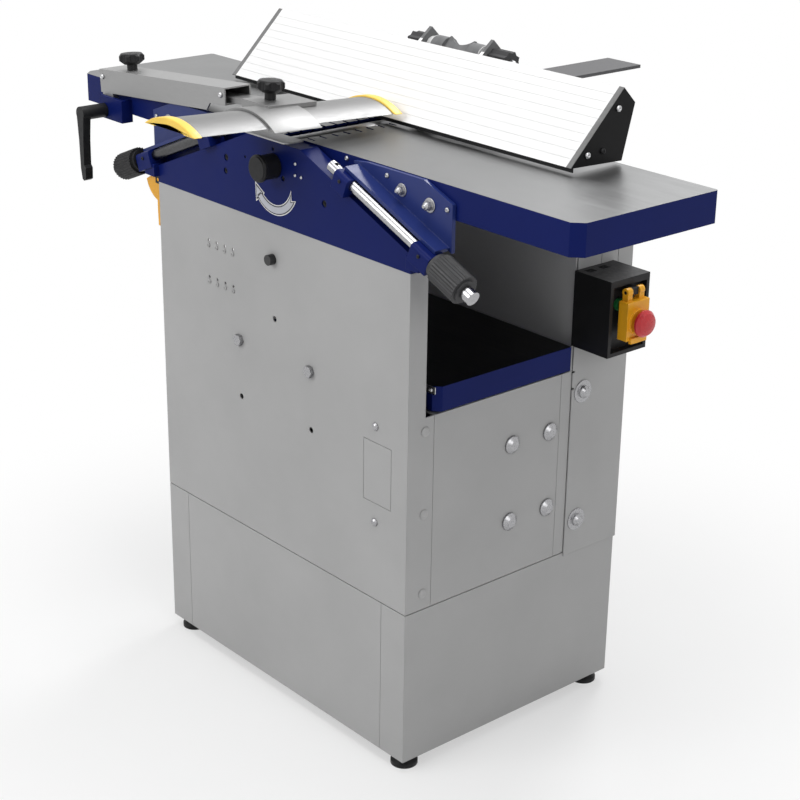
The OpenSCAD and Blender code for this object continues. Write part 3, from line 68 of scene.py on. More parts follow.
class Tree:
    """Small helper round one material's node tree."""

    def __init__(self, name):
        self.material = bpy.data.materials.new(name)
        self.material.use_nodes = True
        self.nodes = self.material.node_tree.nodes
        self.links = self.material.node_tree.links
        self.shader = self.nodes["Principled BSDF"]
        self.place = self.nodes.new("ShaderNodeTexCoord")

    def link(self, a, b):
        self.links.new(a, b)

    def value(self, **sockets):
        for name, number in sockets.items():
            self.shader.inputs[name.replace("_", " ")].default_value = number

    def noise(self, scale, detail=3.0, stretch=(1.0, 1.0, 1.0), rough=0.55):
        """Noise over the object's own coordinates; scale is in waves per metre."""
        spread = self.nodes.new("ShaderNodeMapping")
        spread.inputs["Scale"].default_value = stretch
        self.link(self.place.outputs["Object"], spread.inputs["Vector"])
        texture = self.nodes.new("ShaderNodeTexNoise")
        texture.inputs["Scale"].default_value = scale
        texture.inputs["Detail"].default_value = detail
        texture.inputs["Roughness"].default_value = rough
        self.link(spread.outputs["Vector"], texture.inputs["Vector"])
        return texture.outputs["Fac"]

    def ramp(self, factor, stops):
        node = self.nodes.new("ShaderNodeValToRGB")
        band = node.color_ramp
        while len(band.elements) < len(stops):
            band.elements.new(0.5)
        for element, (spot, colour) in zip(band.elements, stops):
            element.position = spot
            element.color = (*colour, 1.0)
        self.link(factor, node.inputs["Fac"])
        return node.outputs["Color"]

    def span(self, factor, low, high):
        node = self.nodes.new("ShaderNodeMapRange")
        node.inputs["From Min"].default_value = 0.3
        node.inputs["From Max"].default_value = 0.7
        node.inputs["To Min"].default_value = low
        node.inputs["To Max"].default_value = high
        self.link(factor, node.inputs["Value"])
        return node.outputs["Result"]

    def sum(self, kind, a, b):
        node = self.nodes.new("ShaderNodeMath")
        node.operation = kind
        for socket, item in zip(node.inputs, (a, b)):
            if isinstance(item, (int, float)):
                socket.default_value = item
            else:
                self.link(item, socket)
        return node.outputs["Value"]

    def mix(self, factor, a, b):
        node = self.nodes.new("ShaderNodeMix")
        node.data_type = "RGBA"
        self.link(factor, node.inputs["Factor"])
        self.link(a, node.inputs["A"])
        self.link(b, node.inputs["B"])
        return node.outputs["Result"]

    def mix_value(self, factor, a, b):
        node = self.nodes.new("ShaderNodeMix")
        node.data_type = "FLOAT"
        self.link(factor, node.inputs["Factor"])
        for name, item in (("A", a), ("B", b)):
            if isinstance(item, (int, float)):
                node.inputs[name].default_value = item
            else:
                self.link(item, node.inputs[name])
        return node.outputs["Result"]

    def bump(self, height, strength, distance, edge=0.0):
        node = self.nodes.new("ShaderNodeBump")
        node.inputs["Strength"].default_value = strength
        node.inputs["Distance"].default_value = distance
        self.link(height, node.inputs["Height"])
        if edge > 0:
            soft = self.nodes.new("ShaderNodeBevel")
            soft.samples = 4
            soft.inputs["Radius"].default_value = edge
            self.link(soft.outputs["Normal"], node.inputs["Normal"])
        self.link(node.outputs["Normal"], self.shader.inputs["Normal"])

    def split(self):
        node = self.nodes.new("ShaderNodeSeparateXYZ")
        self.link(self.place.outputs["Object"], node.inputs["Vector"])
        return node.outputs

    def within(self, socket, low, high):
        """One where a coordinate lies between two places."""
        above = self.sum("GREATER_THAN", socket, low)
        below = self.sum("LESS_THAN", socket, high)
        return self.sum("MULTIPLY", above, below)

    def facing_up(self):
        shape = self.nodes.new("ShaderNodeNewGeometry")
        parts = self.nodes.new("ShaderNodeSeparateXYZ")
        self.link(shape.outputs["True Normal"], parts.inputs["Vector"])
        return parts.outputs["Z"]

    def hue(self, colour, scale, spread):
        """A colour with soft patches a little lighter and darker."""
        dark = tuple(c * (1 - spread) for c in colour)
        light = tuple(min(1.0, c * (1 + spread)) for c in colour)
        return self.ramp(self.noise(scale), [(0.3, dark), (0.7, light)])


def paint(name, colour, rough=0.42, grain=900.0, depth=0.00006, edge=0.0012, gloss=0.3):
    """Powder coat or enamel with a fine orange peel."""
    tree = Tree(name)
    tree.link(tree.hue(colour, 7.0, 0.035), tree.shader.inputs["Base Color"])
    tree.link(tree.span(tree.noise(40.0), rough - 0.05, rough + 0.06), tree.shader.inputs["Roughness"])
    tree.bump(tree.noise(grain, 2.0), 0.35, depth, edge)
    tree.value(Specular_IOR_Level=gloss)
    return tree.material


def plastic(name, colour, rough=0.45, grain=1400.0, depth=0.00005, edge=0.0008, gloss=0.5):
    """Moulded plastic with a fine eroded skin."""
    tree = Tree(name)
    tree.link(tree.hue(colour, 30.0, 0.06), tree.shader.inputs["Base Color"])
    tree.link(tree.span(tree.noise(120.0), rough - 0.06, rough + 0.08), tree.shader.inputs["Roughness"])
    tree.bump(tree.noise(grain, 2.0), 0.4, depth, edge)
    tree.value(Specular_IOR_Level=gloss)
    return tree.material


def metal(name, colour, rough=0.3, stretch=(1.0, 1.0, 1.0), scale=60.0, depth=0.00002, edge=0.0006):
    """Bare metal with drawn or turned marks along the stretched direction."""
    tree = Tree(name)
    marks = tree.noise(scale, 4.0, stretch, 0.7)
    dark = tuple(c * 0.86 for c in colour)
    tree.link(tree.ramp(marks, [(0.3, dark), (0.7, colour)]), tree.shader.inputs["Base Color"])
    tree.link(tree.span(marks, rough - 0.08, rough + 0.1), tree.shader.inputs["Roughness"])
    tree.bump(marks, 0.3, depth, edge)
    tree.value(Metallic=1.0)
    return tree.material


NAVY = (0.004, 0.0105, 0.098)
NAVY_ROUGH = 0.38
NAVY_GLOSS = 0.08
GREY = (0.4, 0.4, 0.4)
BLACK = (0.011, 0.011, 0.012)


def two_skins(name, top_z, top_colour, top_rough):
    """A casting with a ground top face and enamelled sides."""
    tree = Tree(name)
    xyz = tree.split()
    high = tree.sum("GREATER_THAN", xyz["Z"], top_z - 2 * HAIR)
    flat = tree.sum("GREATER_THAN", tree.facing_up(), 0.7)
    ground = tree.sum("MULTIPLY", high, flat)
    marks = tree.noise(1.0, 5.0, (9.0, 620.0, 1.0), 0.65)
    broad = tree.noise(5.0, 3.0)
    dark = tuple(c * 0.88 for c in top_colour)
    light = tuple(c * 1.06 for c in top_colour)
    lines = tree.ramp(marks, [(0.35, dark), (0.65, light)])
    enamel = tree.hue(NAVY, 9.0, 0.06)
    tree.link(tree.mix(ground, enamel, lines), tree.shader.inputs["Base Color"])
    tree.link(ground, tree.shader.inputs["Metallic"])
    fine = tree.span(marks, top_rough - 0.04, top_rough + 0.06)
    rough_top = tree.sum("ADD", fine, tree.span(broad, -0.03, 0.04))
    tree.link(tree.mix_value(ground, NAVY_ROUGH, rough_top), tree.shader.inputs["Roughness"])
    peel = tree.noise(700.0, 2.0)
    tree.bump(tree.mix_value(ground, peel, marks), 0.25, 0.00004, 0.0012)
    tree.value(Specular_IOR_Level=NAVY_GLOSS)
    return tree.material


FENCE_BUSH = (0.0505, 0.0622)
PLATE_EDGE = 0.0006


def fence_skin():
    """Pale face with its lower face painted black as painted shade, black end plates, and a grey casting with
    bright bushes behind.
    """
    tree = Tree("fence_skin")
    xyz = tree.split()
    past_right = tree.sum("GREATER_THAN", xyz["X"], at(FENCE_RIGHT, 0, 0).x + HAIR)
    past_left = tree.sum("LESS_THAN", xyz["X"], at(FENCE_LEFT, 0, 0).x - HAIR)
    plate = tree.sum("MAXIMUM", past_right, past_left)
    corner = at(0, FENCE_Y, FENCE_Z)
    back = tree.sum("SUBTRACT", xyz["Y"], xyz["Z"])
    face = corner.y - corner.z
    behind = tree.sum("GREATER_THAN", back, face + (FENCE_T + 2 * HAIR) / math.cos(LEAN))
    edge = tree.sum("LESS_THAN", back, face + PLATE_EDGE / math.cos(LEAN))
    # The lower face of the fence is painted black: painted shade under the fence, not the aluminium's own
    # colour.
    below = tree.sum("LESS_THAN", tree.sum("ADD", xyz["Y"], xyz["Z"]), corner.y + corner.z + 1.5 * HAIR)
    aside = tree.sum("ABSOLUTE", tree.sum("SUBTRACT", xyz["X"], at(CLAMP_X, 0, 0).x), 0.0)
    bush = tree.sum("MULTIPLY", behind, tree.within(aside, *FENCE_BUSH))
    marks = tree.noise(1.0, 4.0, (14.0, 500.0, 500.0), 0.6)
    pale = tree.ramp(marks, [(0.3, (0.83, 0.83, 0.83)), (0.7, (0.9, 0.9, 0.9))])
    casting = tree.hue((0.16, 0.162, 0.165), 60.0, 0.2)
    bright = tree.hue((0.6, 0.6, 0.6), 90.0, 0.1)
    black = tree.hue((0.006, 0.006, 0.0065), 60.0, 0.2)
    bare = tree.hue((0.2, 0.2, 0.2), 90.0, 0.1)
    colour = tree.mix(bush, tree.mix(behind, pale, casting), bright)
    ends = tree.mix(edge, black, bare)
    sides = tree.mix(plate, colour, ends)
    tree.link(tree.mix(below, sides, black), tree.shader.inputs["Base Color"])
    tree.link(tree.span(marks, 0.34, 0.5), tree.shader.inputs["Roughness"])
    tree.bump(marks, 0.2, 0.00003, 0.0006)
    tree.value(Specular_IOR_Level=0.12)
    return tree.material


RAIL_Z = TABLE_Z + 0.0238


def carrier_skin():
    """Navy carrier with a bare dark steel fence rail on top."""
    tree = Tree("carrier_skin")
    xyz = tree.split()
    rail = tree.sum("GREATER_THAN", xyz["Z"], RAIL_Z)
    marks = tree.noise(1.0, 4.0, (500.0, 12.0, 60.0), 0.6)
    bare = tree.ramp(marks, [(0.3, (0.09, 0.09, 0.094)), (0.7, (0.13, 0.13, 0.135))])
    tree.link(tree.mix(rail, tree.hue(NAVY, 9.0, 0.06), bare), tree.shader.inputs["Base Color"])
    tree.link(tree.mix_value(rail, NAVY_ROUGH, tree.span(marks, 0.32, 0.45)), tree.shader.inputs["Roughness"])
    tree.bump(marks, 0.2, 0.00003, 0.001)
    tree.value(Specular_IOR_Level=NAVY_GLOSS)
    return tree.material


STUB_X = -0.005
STUB_Z = 0.704
STUB_REACH = 0.009
RIVET_REACH = 0.009


def fastener_skin():
    """Plain steel bolt heads, painted corner rivets and one black stub."""
    tree = Tree("fastener_skin")
    xyz = tree.split()
    stub_spot = at(STUB_X, 0, STUB_Z)
    stub_x = tree.within(xyz["X"], stub_spot.x - STUB_REACH, stub_spot.x + STUB_REACH)
    stub_z = tree.within(xyz["Z"], stub_spot.z - STUB_REACH, stub_spot.z + STUB_REACH)
    stub = tree.sum("MULTIPLY", stub_x, stub_z)
    corner = at(0, CORNER_Y, 0).y
    rivet = tree.within(xyz["Y"], corner - RIVET_REACH, corner + RIVET_REACH)
    marks = tree.noise(500.0, 3.0)
    steel = tree.ramp(marks, [(0.3, (0.3, 0.3, 0.31)), (0.7, (0.42, 0.42, 0.43))])
    painted = tree.mix(rivet, steel, tree.hue(GREY, 30.0, 0.03))
    tree.link(tree.mix(stub, painted, tree.hue(BLACK, 60.0, 0.2)), tree.shader.inputs["Base Color"])
    covered = tree.sum("MAXIMUM", stub, rivet)
    tree.link(tree.sum("SUBTRACT", 1.0, covered), tree.shader.inputs["Metallic"])
    tree.link(tree.mix_value(covered, tree.span(marks, 0.22, 0.36), 0.42), tree.shader.inputs["Roughness"])
    tree.bump(marks, 0.2, 0.00002, 0.001)
    return tree.material


def rod_skin():
    """Chrome rod on the infeed side; the outfeed side is the same chrome painted dark as painted shade and
    painted dark reflection.
    """
    tree = Tree("rod_skin")
    # The outfeed half of the rod is painted dark: painted shade and painted dark reflection on the same
    # chrome, not another finish.
    outfeed_shade_mask = tree.sum("LESS_THAN", tree.split()["X"], at(0, 0, 0).x)
    marks = tree.noise(300.0, 3.0)
    chrome = tree.ramp(marks, [(0.3, (0.34, 0.34, 0.35)), (0.7, (0.42, 0.42, 0.43))])
    dark = tree.ramp(marks, [(0.3, (0.06, 0.06, 0.062)), (0.7, (0.09, 0.09, 0.093))])
    tree.link(tree.mix(outfeed_shade_mask, chrome, dark), tree.shader.inputs["Base Color"])
    tree.link(tree.mix_value(outfeed_shade_mask, tree.span(marks, 0.2, 0.28), 0.3), tree.shader.inputs["Roughness"])
    tree.bump(marks, 0.1, 0.00001, 0.0006)
    tree.value(Metallic=1.0)
    return tree.material


skins = {
    "grey_paint": paint("grey_powder", GREY),
    "blue_paint": paint("navy_enamel", NAVY, NAVY_ROUGH, 700.0, gloss=NAVY_GLOSS),
    "ground_table": two_skins("ground_table", TABLE_Z, (0.225, 0.227, 0.229), 0.34),
    "dark_table": two_skins("dark_table", BED_Z, (0.011, 0.011, 0.0115), 0.34),
    "plain_steel": metal("plain_steel", (0.42, 0.42, 0.43), 0.38, (1.0, 12.0, 1.0), 90.0),
    "bright_steel": metal("bright_steel", (0.56, 0.56, 0.57), 0.3, (1.0, 1.0, 1.0), 400.0),
    "chrome_rod": rod_skin(),
    "cast_grey": paint("cast_grey", (0.16, 0.162, 0.165), 0.5, 500.0, 0.00012),
    "motor_paint": paint("motor_enamel", (0.05, 0.055, 0.07), 0.4),
    "arm_aluminium": metal("arm_aluminium", (0.36, 0.36, 0.36), 0.48, (1.0, 14.0, 14.0), 40.0),
    "fence_aluminium": fence_skin(),
    "black_plastic": plastic("black_plastic", BLACK, 0.42, gloss=0.22),
    "dark_plastic": plastic("dark_plastic", (0.045, 0.045, 0.047), 0.48, gloss=0.25),
    "guard_yellow": plastic("guard_yellow", (0.9, 0.6, 0.09), 0.4),
    "switch_yellow": plastic("switch_yellow", (0.84, 0.4, 0.012), 0.35),
    "red_plastic": plastic("red_plastic", (0.55, 0.022, 0.03), 0.3),
    "green_plastic": plastic("green_plastic", (0.02, 0.25, 0.06), 0.35),
    "belt_rubber": plastic("belt_rubber", (0.018, 0.018, 0.018), 0.7),
    "wheel_rubber": plastic("wheel_rubber", (0.025, 0.025, 0.025), 0.7),
    "nut_brass": metal("nut_brass", (0.6, 0.42, 0.16), 0.3),
}
skins["swing_frame"] = carrier_skin()
skins["panel_fasteners"] = fastener_skin()
skins["guard_holder"] = metal("holder_alloy", (0.28, 0.28, 0.28), 0.45, (1.0, 9.0, 9.0), 60.0)
skins["guard_plate"] = metal("guard_sheet", (0.24, 0.24, 0.24), 0.46, (14.0, 1.0, 14.0), 40.0)
# The brackets carry the frame's navy, made lighter here as painted light for their flanges and lugs, which
# catch the top light.
skins["infeed_bracket"] = paint("bracket_enamel_painted_light", (0.016, 0.03, 0.15), 0.34, 700.0, gloss=0.25)
skins["outfeed_bracket"] = skins["infeed_bracket"]


def dress(thing, skin):
    """Puts one material in every slot of an object."""
    if not thing.material_slots:
        thing.data.materials.append(skin)
    for holder in thing.material_slots:
        holder.material = skin


for part in frame["record"]["subparts"]:
    name = part["node"]
    skin = skins.get(name, skins[part["material_slot"]])
    dress(frame["nodes"][name], skin)


def soften(name, width, steps=3):
    """Rounds off the sharp edges of one CAD node with modifiers, so its own mesh stays as it is."""
    thing = frame["nodes"][name]
    weld = thing.modifiers.new("weld", "WELD")
    weld.merge_threshold = 0.000005
    clean = thing.modifiers.new("clean", "DECIMATE")
    clean.decimate_type = "DISSOLVE"
    clean.angle_limit = math.radians(1)
    rounding = thing.modifiers.new("rounding", "BEVEL")
    rounding.limit_method = "ANGLE"
    rounding.angle_limit = math.radians(38)
    rounding.width = width
    rounding.segments = steps


soften("switch_box", 0.004, 4)
soften("switch_flap", 0.0012)
soften("guard_caps", 0.003, 4)
soften("guard_lever", 0.003, 4)
soften("outfeed_stop", 0.0018)
soften("guard_holder", 0.0012)
soften("guard_arm", 0.0008)
soften("shaft_cap", 0.0016)
soften("panel_fasteners", 0.0012)


# Small fittings

def piece(name, mesh_maker, body, slot):
    """A new piece from a function that fills a bmesh, in the frame's coordinates."""
    build = bmesh.new()
    mesh_maker(build)
    bmesh.ops.recalc_face_normals(build, faces=build.faces)
    data = bpy.data.meshes.new(name)
    build.to_mesh(data)
    build.free()
    thing = bpy.data.objects.new(name, data)
    bpy.context.scene.collection.objects.link(thing)
    dress(thing, skins[slot])
    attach(thing, body)
    return thing


def basis(origin, axis):
    """Matrix that takes +Z to an axis at an origin."""
    turn = Vector((0, 0, 1)).rotation_difference(Vector(axis)).to_matrix().to_4x4()
    return Matrix.Translation(origin) @ turn


def lathe(build, spot, profile, steps=32):
    """A turned solid from (radius, height) pairs, closed at both ends."""
    rings = []
    for radius, height in profile:
        ring = []
        for i in range(steps):
            a = 2 * math.pi * i / steps
            ring.append(build.verts.new(spot @ Vector((radius * math.cos(a), radius * math.sin(a), height))))
        rings.append(ring)
    for low, high in zip(rings, rings[1:]):
        for i in range(steps):
            j = (i + 1) % steps
            face = build.faces.new((low[i], low[j], high[j], high[i]))
            face.smooth = steps > 12
    build.faces.new(rings[0][::-1])
    build.faces.new(rings[-1])


def prism(build, spot, outline, low, high):
    """A straight solid over an outline of (x, y) pairs."""
    bottom = [build.verts.new(spot @ Vector((x, y, low))) for x, y in outline]
    top = [build.verts.new(spot @ Vector((x, y, high))) for x, y in outline]
    count = len(outline)
    for i in range(count):
        j = (i + 1) % count
        build.faces.new((bottom[i], bottom[j], top[j], top[i]))
    build.faces.new(bottom[::-1])
    build.faces.new(top)


def hexagon(r):
    """Corners of a hexagon of radius r."""
    return [(r * math.cos(math.radians(60 * i)), r * math.sin(math.radians(60 * i))) for i in range(6)]


def bolt(build, origin, axis, r):
    """A washer with a hexagon lock nut, its rounded collar and the bolt's end."""
    spot = basis(origin, axis)
    lathe(build, spot, [(r * 1.45, 0), (r * 1.45, r * 0.16), (r * 1.38, r * 0.22)])
    prism(build, spot, hexagon(r), r * 0.2, r * 1.0)
    lathe(build, spot, [(r * 0.8, r), (r * 0.8, r * 1.25), (r * 0.6, r * 1.42), (r * 0.4, r * 1.42),
                        (r * 0.4, r * 1.7), (r * 0.34, r * 1.78)])


def screw(build, origin, axis, r):
    """A domed screw head with a socket."""
    spot = basis(origin, axis)
    profile = [(r, 0), (r, r * 0.35), (r * 0.85, r * 0.62), (r * 0.5, r * 0.75), (r * 0.42, r * 0.75),
               (r * 0.42, r * 0.35)]
    lathe(build, spot, profile, 24)


BRACKET_BOLTS = ((0.24, 0.8528, 0.0062), (0.2948, 0.8445, 0.0068))
BRACKET_SCREWS = ((0.1205, SKIRT_Y, 0.8696), (0.2106, BRACKET_Y, 0.8658), (0.3279, BRACKET_Y, 0.8457))
BRACKET_SCREW_R = 0.0035


def bracket_fittings(s, body, name):
    """Nuts and small screws on the bracket of one table; s is the side."""
    def bolts(build):
        for x, z, r in BRACKET_BOLTS:
            bolt(build, at(s * x, BRACKET_Y, z), TO_FRONT, r)

    def screws(build):
        for x, y, z in BRACKET_SCREWS:
            screw(build, at(s * x, y, z), TO_FRONT, BRACKET_SCREW_R)

    piece(name + "_bolts", bolts, body, "plain_steel")
    piece(name + "_screws", screws, body, "plain_steel")


bracket_fittings(1, "infeed", "infeed_bracket")
bracket_fittings(-1, "outfeed", "outfeed_bracket")

ARROW_MID = (0.0006, 0.8235)
ARROW_IN = 0.0389
ARROW_OUT = 0.054
ARROW_HEAD = ((-0.0439, 0.809), (-0.0223, 0.7962), (-0.042, 0.7803))
HEAD_INNER = 0.0075
ARROW_STEPS = 24
ARROW_START = 221
TAIL_IN = 344
TAIL_OUT = 334
TAIL_NOTCH = 327
TAIL_SLANT = 1.6
PRINT_SINK = 0.0001


def turn_arrow(inset, proud):
    """Maker of one printed layer of the arrow that shows which way the cutter turns."""
    def ring_point(r, degrees):
        a = math.radians(degrees)
        return (ARROW_MID[0] + r * math.cos(a), ARROW_MID[1] + r * math.sin(a))

    def maker(build):
        r_in = ARROW_IN + inset
        r_out = ARROW_OUT - inset
        turn_in = math.degrees(inset / ARROW_OUT) * TAIL_SLANT
        sweep_in = TAIL_IN - 2 * turn_in - ARROW_START
        sweep_out = TAIL_OUT - turn_in - ARROW_START
        steps = range(ARROW_STEPS + 1)
        inner = [ring_point(r_in, ARROW_START + sweep_in * i / ARROW_STEPS) for i in steps]
        outer = [ring_point(r_out, ARROW_START + sweep_out * i / ARROW_STEPS) for i in steps]
        notch = ring_point((r_in + r_out) / 2, TAIL_NOTCH - turn_in)
        middle = [sum(p[k] for p in ARROW_HEAD) / 3 for k in (0, 1)]
        share = 1 - inset / HEAD_INNER
        head = [tuple(m + share * (c - m) for c, m in zip(p, middle)) for p in ARROW_HEAD]
        for ring in (inner + [notch] + outer[::-1], head):
            front = [build.verts.new(at(x, FRONT_Y - proud, z)) for x, z in ring]
            rear = [build.verts.new(at(x, FRONT_Y + PRINT_SINK, z)) for x, z in ring]
            build.faces.new(front)
            build.faces.new(rear[::-1])
            for i in range(len(ring)):
                j = (i + 1) % len(ring)
                build.faces.new((front[i], front[j], rear[j], rear[i]))

    return maker


skins["white_print"] = plastic("white_print", (0.8, 0.8, 0.8), 0.5)
skins["pale_print"] = plastic("pale_print", (0.5, 0.51, 0.56), 0.5)
skins["dark_print"] = plastic("dark_print", (0.03, 0.03, 0.04), 0.5)


# Name, inset from the rim, height over the plate and skin of each printed layer
ARROW_LAYERS = (("turn_arrow_rim", 0.0, 0.0003, "white_print"),
                ("turn_arrow_line", 0.0014, 0.0005, "dark_print"),
                ("turn_arrow_fill", 0.003, 0.0007, "pale_print"))
for layer, inset, proud, ink in ARROW_LAYERS:
    print_layer = piece(layer, turn_arrow(inset, proud), "cabinet", "fence_aluminium")
    dress(print_layer, skins[ink])


FRAME_PINS = ((0.0487, 0.8522), (0.0481, 0.8361), (0.0616, 0.8359))
FRAME_PIN_R = 0.0022


def frame_pins(build):
    """Bright pins in the frame plate beside the shaft's cap."""
    for x, z in FRAME_PINS:
        screw(build, at(x, FRONT_Y, z), TO_FRONT, FRAME_PIN_R)


piece("frame_pins", frame_pins, "cabinet", "bright_steel")


# Along the plate, up from the table tops, and radius
FRAME_HOLES = ((-0.002, -0.013, 0.0026), (0.02, -0.05, 0.004), (-0.113, -0.047, 0.005),
               (-0.115, -0.067, 0.0045), (-0.067, -0.037, 0.0022), (0.111, -0.066, 0.005))
HOLE_SINK = 0.0045


def hole_shade_plugs(build):
    """Dark plugs with a socket-like recess, sunk in the holes of the frame plate: painted shade inside the
    holes.
    """
    for x, z, r in FRAME_HOLES:
        spot = basis(at(x, FRONT_Y + HOLE_SINK, TABLE_Z + z), TO_FRONT)
        profile = [(r * 0.98, 0), (r * 0.98, 0.0024), (r * 0.9, 0.003), (r * 0.5, 0.003), (r * 0.5, 0.0012)]
        lathe(build, spot, profile, 24)


# The black of these plugs is painted shade in the holes of the frame plate.
piece("hole_shade_plugs", hole_shade_plugs, "cabinet", "black_plastic")

ROD_X = 0.147
ROD_Y = FRONT_Y + 0.003
ROD_Z = TABLE_Z - 0.02
LUG_MIDDLES = (0.01, 0.181)
LUG_HALF = 0.0135
LUG_SCREW_R = 0.0026
INCLINE = math.radians(22)


def lug_screws(build):
    """Set screws that hold the guide rods in their lugs."""
    for s in (1, -1):
        for u in LUG_MIDDLES:
            spot = at(s * (ROD_X + u * math.cos(INCLINE)), ROD_Y - LUG_HALF, ROD_Z - u * math.sin(INCLINE))
            screw(build, spot, TO_FRONT, LUG_SCREW_R)


piece("lug_screws", lug_screws, "cabinet", "black_plastic")


STUD_ROWS = (0.6875, 0.631)
STUD_X = -0.162
STUD_STEP = 0.02
STUD_COUNT = 4
STUD_R = 0.0034


def vent_studs(build):
    """Small painted studs under the vent holes of the front panel."""
    for z in STUD_ROWS:
        for i in range(STUD_COUNT):
            screw(build, at(STUD_X + STUD_STEP * i, FRONT_Y, z), TO_FRONT, STUD_R)


piece("vent_studs", vent_studs, "cabinet", "grey_paint")


END_PLATE_T = 0.009
BRIGHT_SPOTS = ((0.0567, 0.8983), (0.1108, 0.9524))
DARK_SPOTS = ((0.085, 0.8996),)
BRIGHT_R = 0.0045
DARK_R = 0.0042


def end_plate_screws(spots, size):
    """Maker of screws on both end plates of the fence."""
    def maker(build):
        for y, z in spots:
            screw(build, at(FENCE_RIGHT + END_PLATE_T, y, z), (1, 0, 0), size)
            screw(build, at(FENCE_LEFT - END_PLATE_T, y, z), (-1, 0, 0), size)

    return maker


piece("fence_screws", end_plate_screws(BRIGHT_SPOTS, BRIGHT_R), "fence", "bright_steel")
piece("fence_dark_screws", end_plate_screws(DARK_SPOTS, DARK_R), "fence", "black_plastic")

LIP_FRONT = 0.005
LIP_BACK = 0.0062
LIP_DEPTH = 0.007
LIP_CHAMFER = 0.0006
LIP_SINK = 0.0003
LIP_OVER = 0.008


def fence_lip(build):
    """Thin black glide strip that closes most of the gap between the fence and the table; its black is partly
    painted shade for the dark band under the fence.
    """
    along_x = Matrix(((0, 0, 1), (1, 0, 0), (0, 1, 0))).to_4x4()
    spot = Matrix.Translation(at(0, FENCE_Y, FENCE_Z)) @ along_x
    outline = [(LIP_FRONT, LIP_SINK), (LIP_FRONT, LIP_CHAMFER - LIP_DEPTH),
               (LIP_FRONT + LIP_CHAMFER, -LIP_DEPTH), (LIP_BACK, -LIP_DEPTH), (LIP_BACK, LIP_SINK)]
    prism(build, spot, outline, FENCE_LEFT - LIP_OVER, FENCE_RIGHT + LIP_OVER)


piece("fence_lip", fence_lip, "fence", "black_plastic")

CLAMP_N = 0.036
CLAMP_H = 0.148
CLAMP_Y = FENCE_Y + CLAMP_N * math.cos(LEAN) + CLAMP_H * math.sin(LEAN)
CLAMP_Z = FENCE_Z + CLAMP_H * math.cos(LEAN) - CLAMP_N * math.sin(LEAN)
CLAMP_END = 0.1028
CAP_NUT_R = 0.0062
CAP_NUT_LOW = -0.001
CAP_NUT_HIGH = 0.004
CAP_DOME = ((0.0048, CAP_NUT_HIGH), (0.0048, 0.006), (0.0036, 0.008), (0.0015, 0.009))


def knob_nuts(build):
    """Cap nuts on the two ends of the fence's clamp rod."""
    for s in (1, -1):
        spot = basis(at(CLAMP_X + s * CLAMP_END, CLAMP_Y, CLAMP_Z), (s, 0, 0))
        prism(build, spot, hexagon(CAP_NUT_R), CAP_NUT_LOW, CAP_NUT_HIGH)
        lathe(build, spot, CAP_DOME, 24)


piece("knob_nuts", knob_nuts, "fence_clamp", "bright_steel")


ARM_FRONT = -0.137
ARM_SPOTS = ((-0.4697, 0.883), (-0.1532, 0.9091))
ARM_SCREW_R = 0.0042


def arm_screws(build):
    """Screw heads near both ends of the guard's arm."""
    for x, z in ARM_SPOTS:
        screw(build, at(x, ARM_FRONT, z), TO_FRONT, ARM_SCREW_R)


piece("arm_screws", arm_screws, "arm", "bright_steel")


BED_FRONT = -0.113
TAB_X = 0.281
TAB_HALF = (0.011, 0.0055)
TAB_CORNER = 0.0015
TAB_T = 0.0012
TAB_SCREW = (0.2835, -0.0058)
TAB_SCREW_R = 0.003


def bed_tab(build):
    """Sheet tab with its screw on the front corner of the thicknesser table."""
    half_w, half_h = TAB_HALF
    spot = basis(at(TAB_X, BED_FRONT, BED_Z - half_h), TO_FRONT)
    outline = [(-half_w, -half_h), (half_w - TAB_CORNER, -half_h), (half_w, TAB_CORNER - half_h),
               (half_w, half_h), (-half_w, half_h)]
    prism(build, spot, outline, 0.0, TAB_T)
    screw_spot = at(TAB_SCREW[0], BED_FRONT - TAB_T, BED_Z + TAB_SCREW[1])
    screw(build, screw_spot, TO_FRONT, TAB_SCREW_R)


piece("bed_tab", bed_tab, "lift", "bright_steel")


# Floor, light and camera

def stage_plane(name, corners, skin):
    """A flat piece of the stage, not of the machine."""
    data = bpy.data.meshes.new(name)
    data.from_pydata(corners, [], [tuple(range(len(corners)))])
    thing = bpy.data.objects.new(name, data)
    bpy.context.scene.collection.objects.link(thing)
    data.materials.append(skin)


def seen_directly(nodes, links):
    """One for rays from the camera, from a mirror-like surface or through a clear one."""
    rays = nodes.new("ShaderNodeLightPath")
    mirrored = nodes.new("ShaderNodeMath")
    mirrored.operation = "MAXIMUM"
    links.new(rays.outputs["Is Camera Ray"], mirrored.inputs[0])
    links.new(rays.outputs["Is Glossy Ray"], mirrored.inputs[1])
    clear = nodes.new("ShaderNodeMath")
    clear.operation = "MAXIMUM"
    links.new(mirrored.outputs["Value"], clear.inputs[0])
    links.new(rays.outputs["Is Transmission Ray"], clear.inputs[1])
    return clear.outputs["Value"]


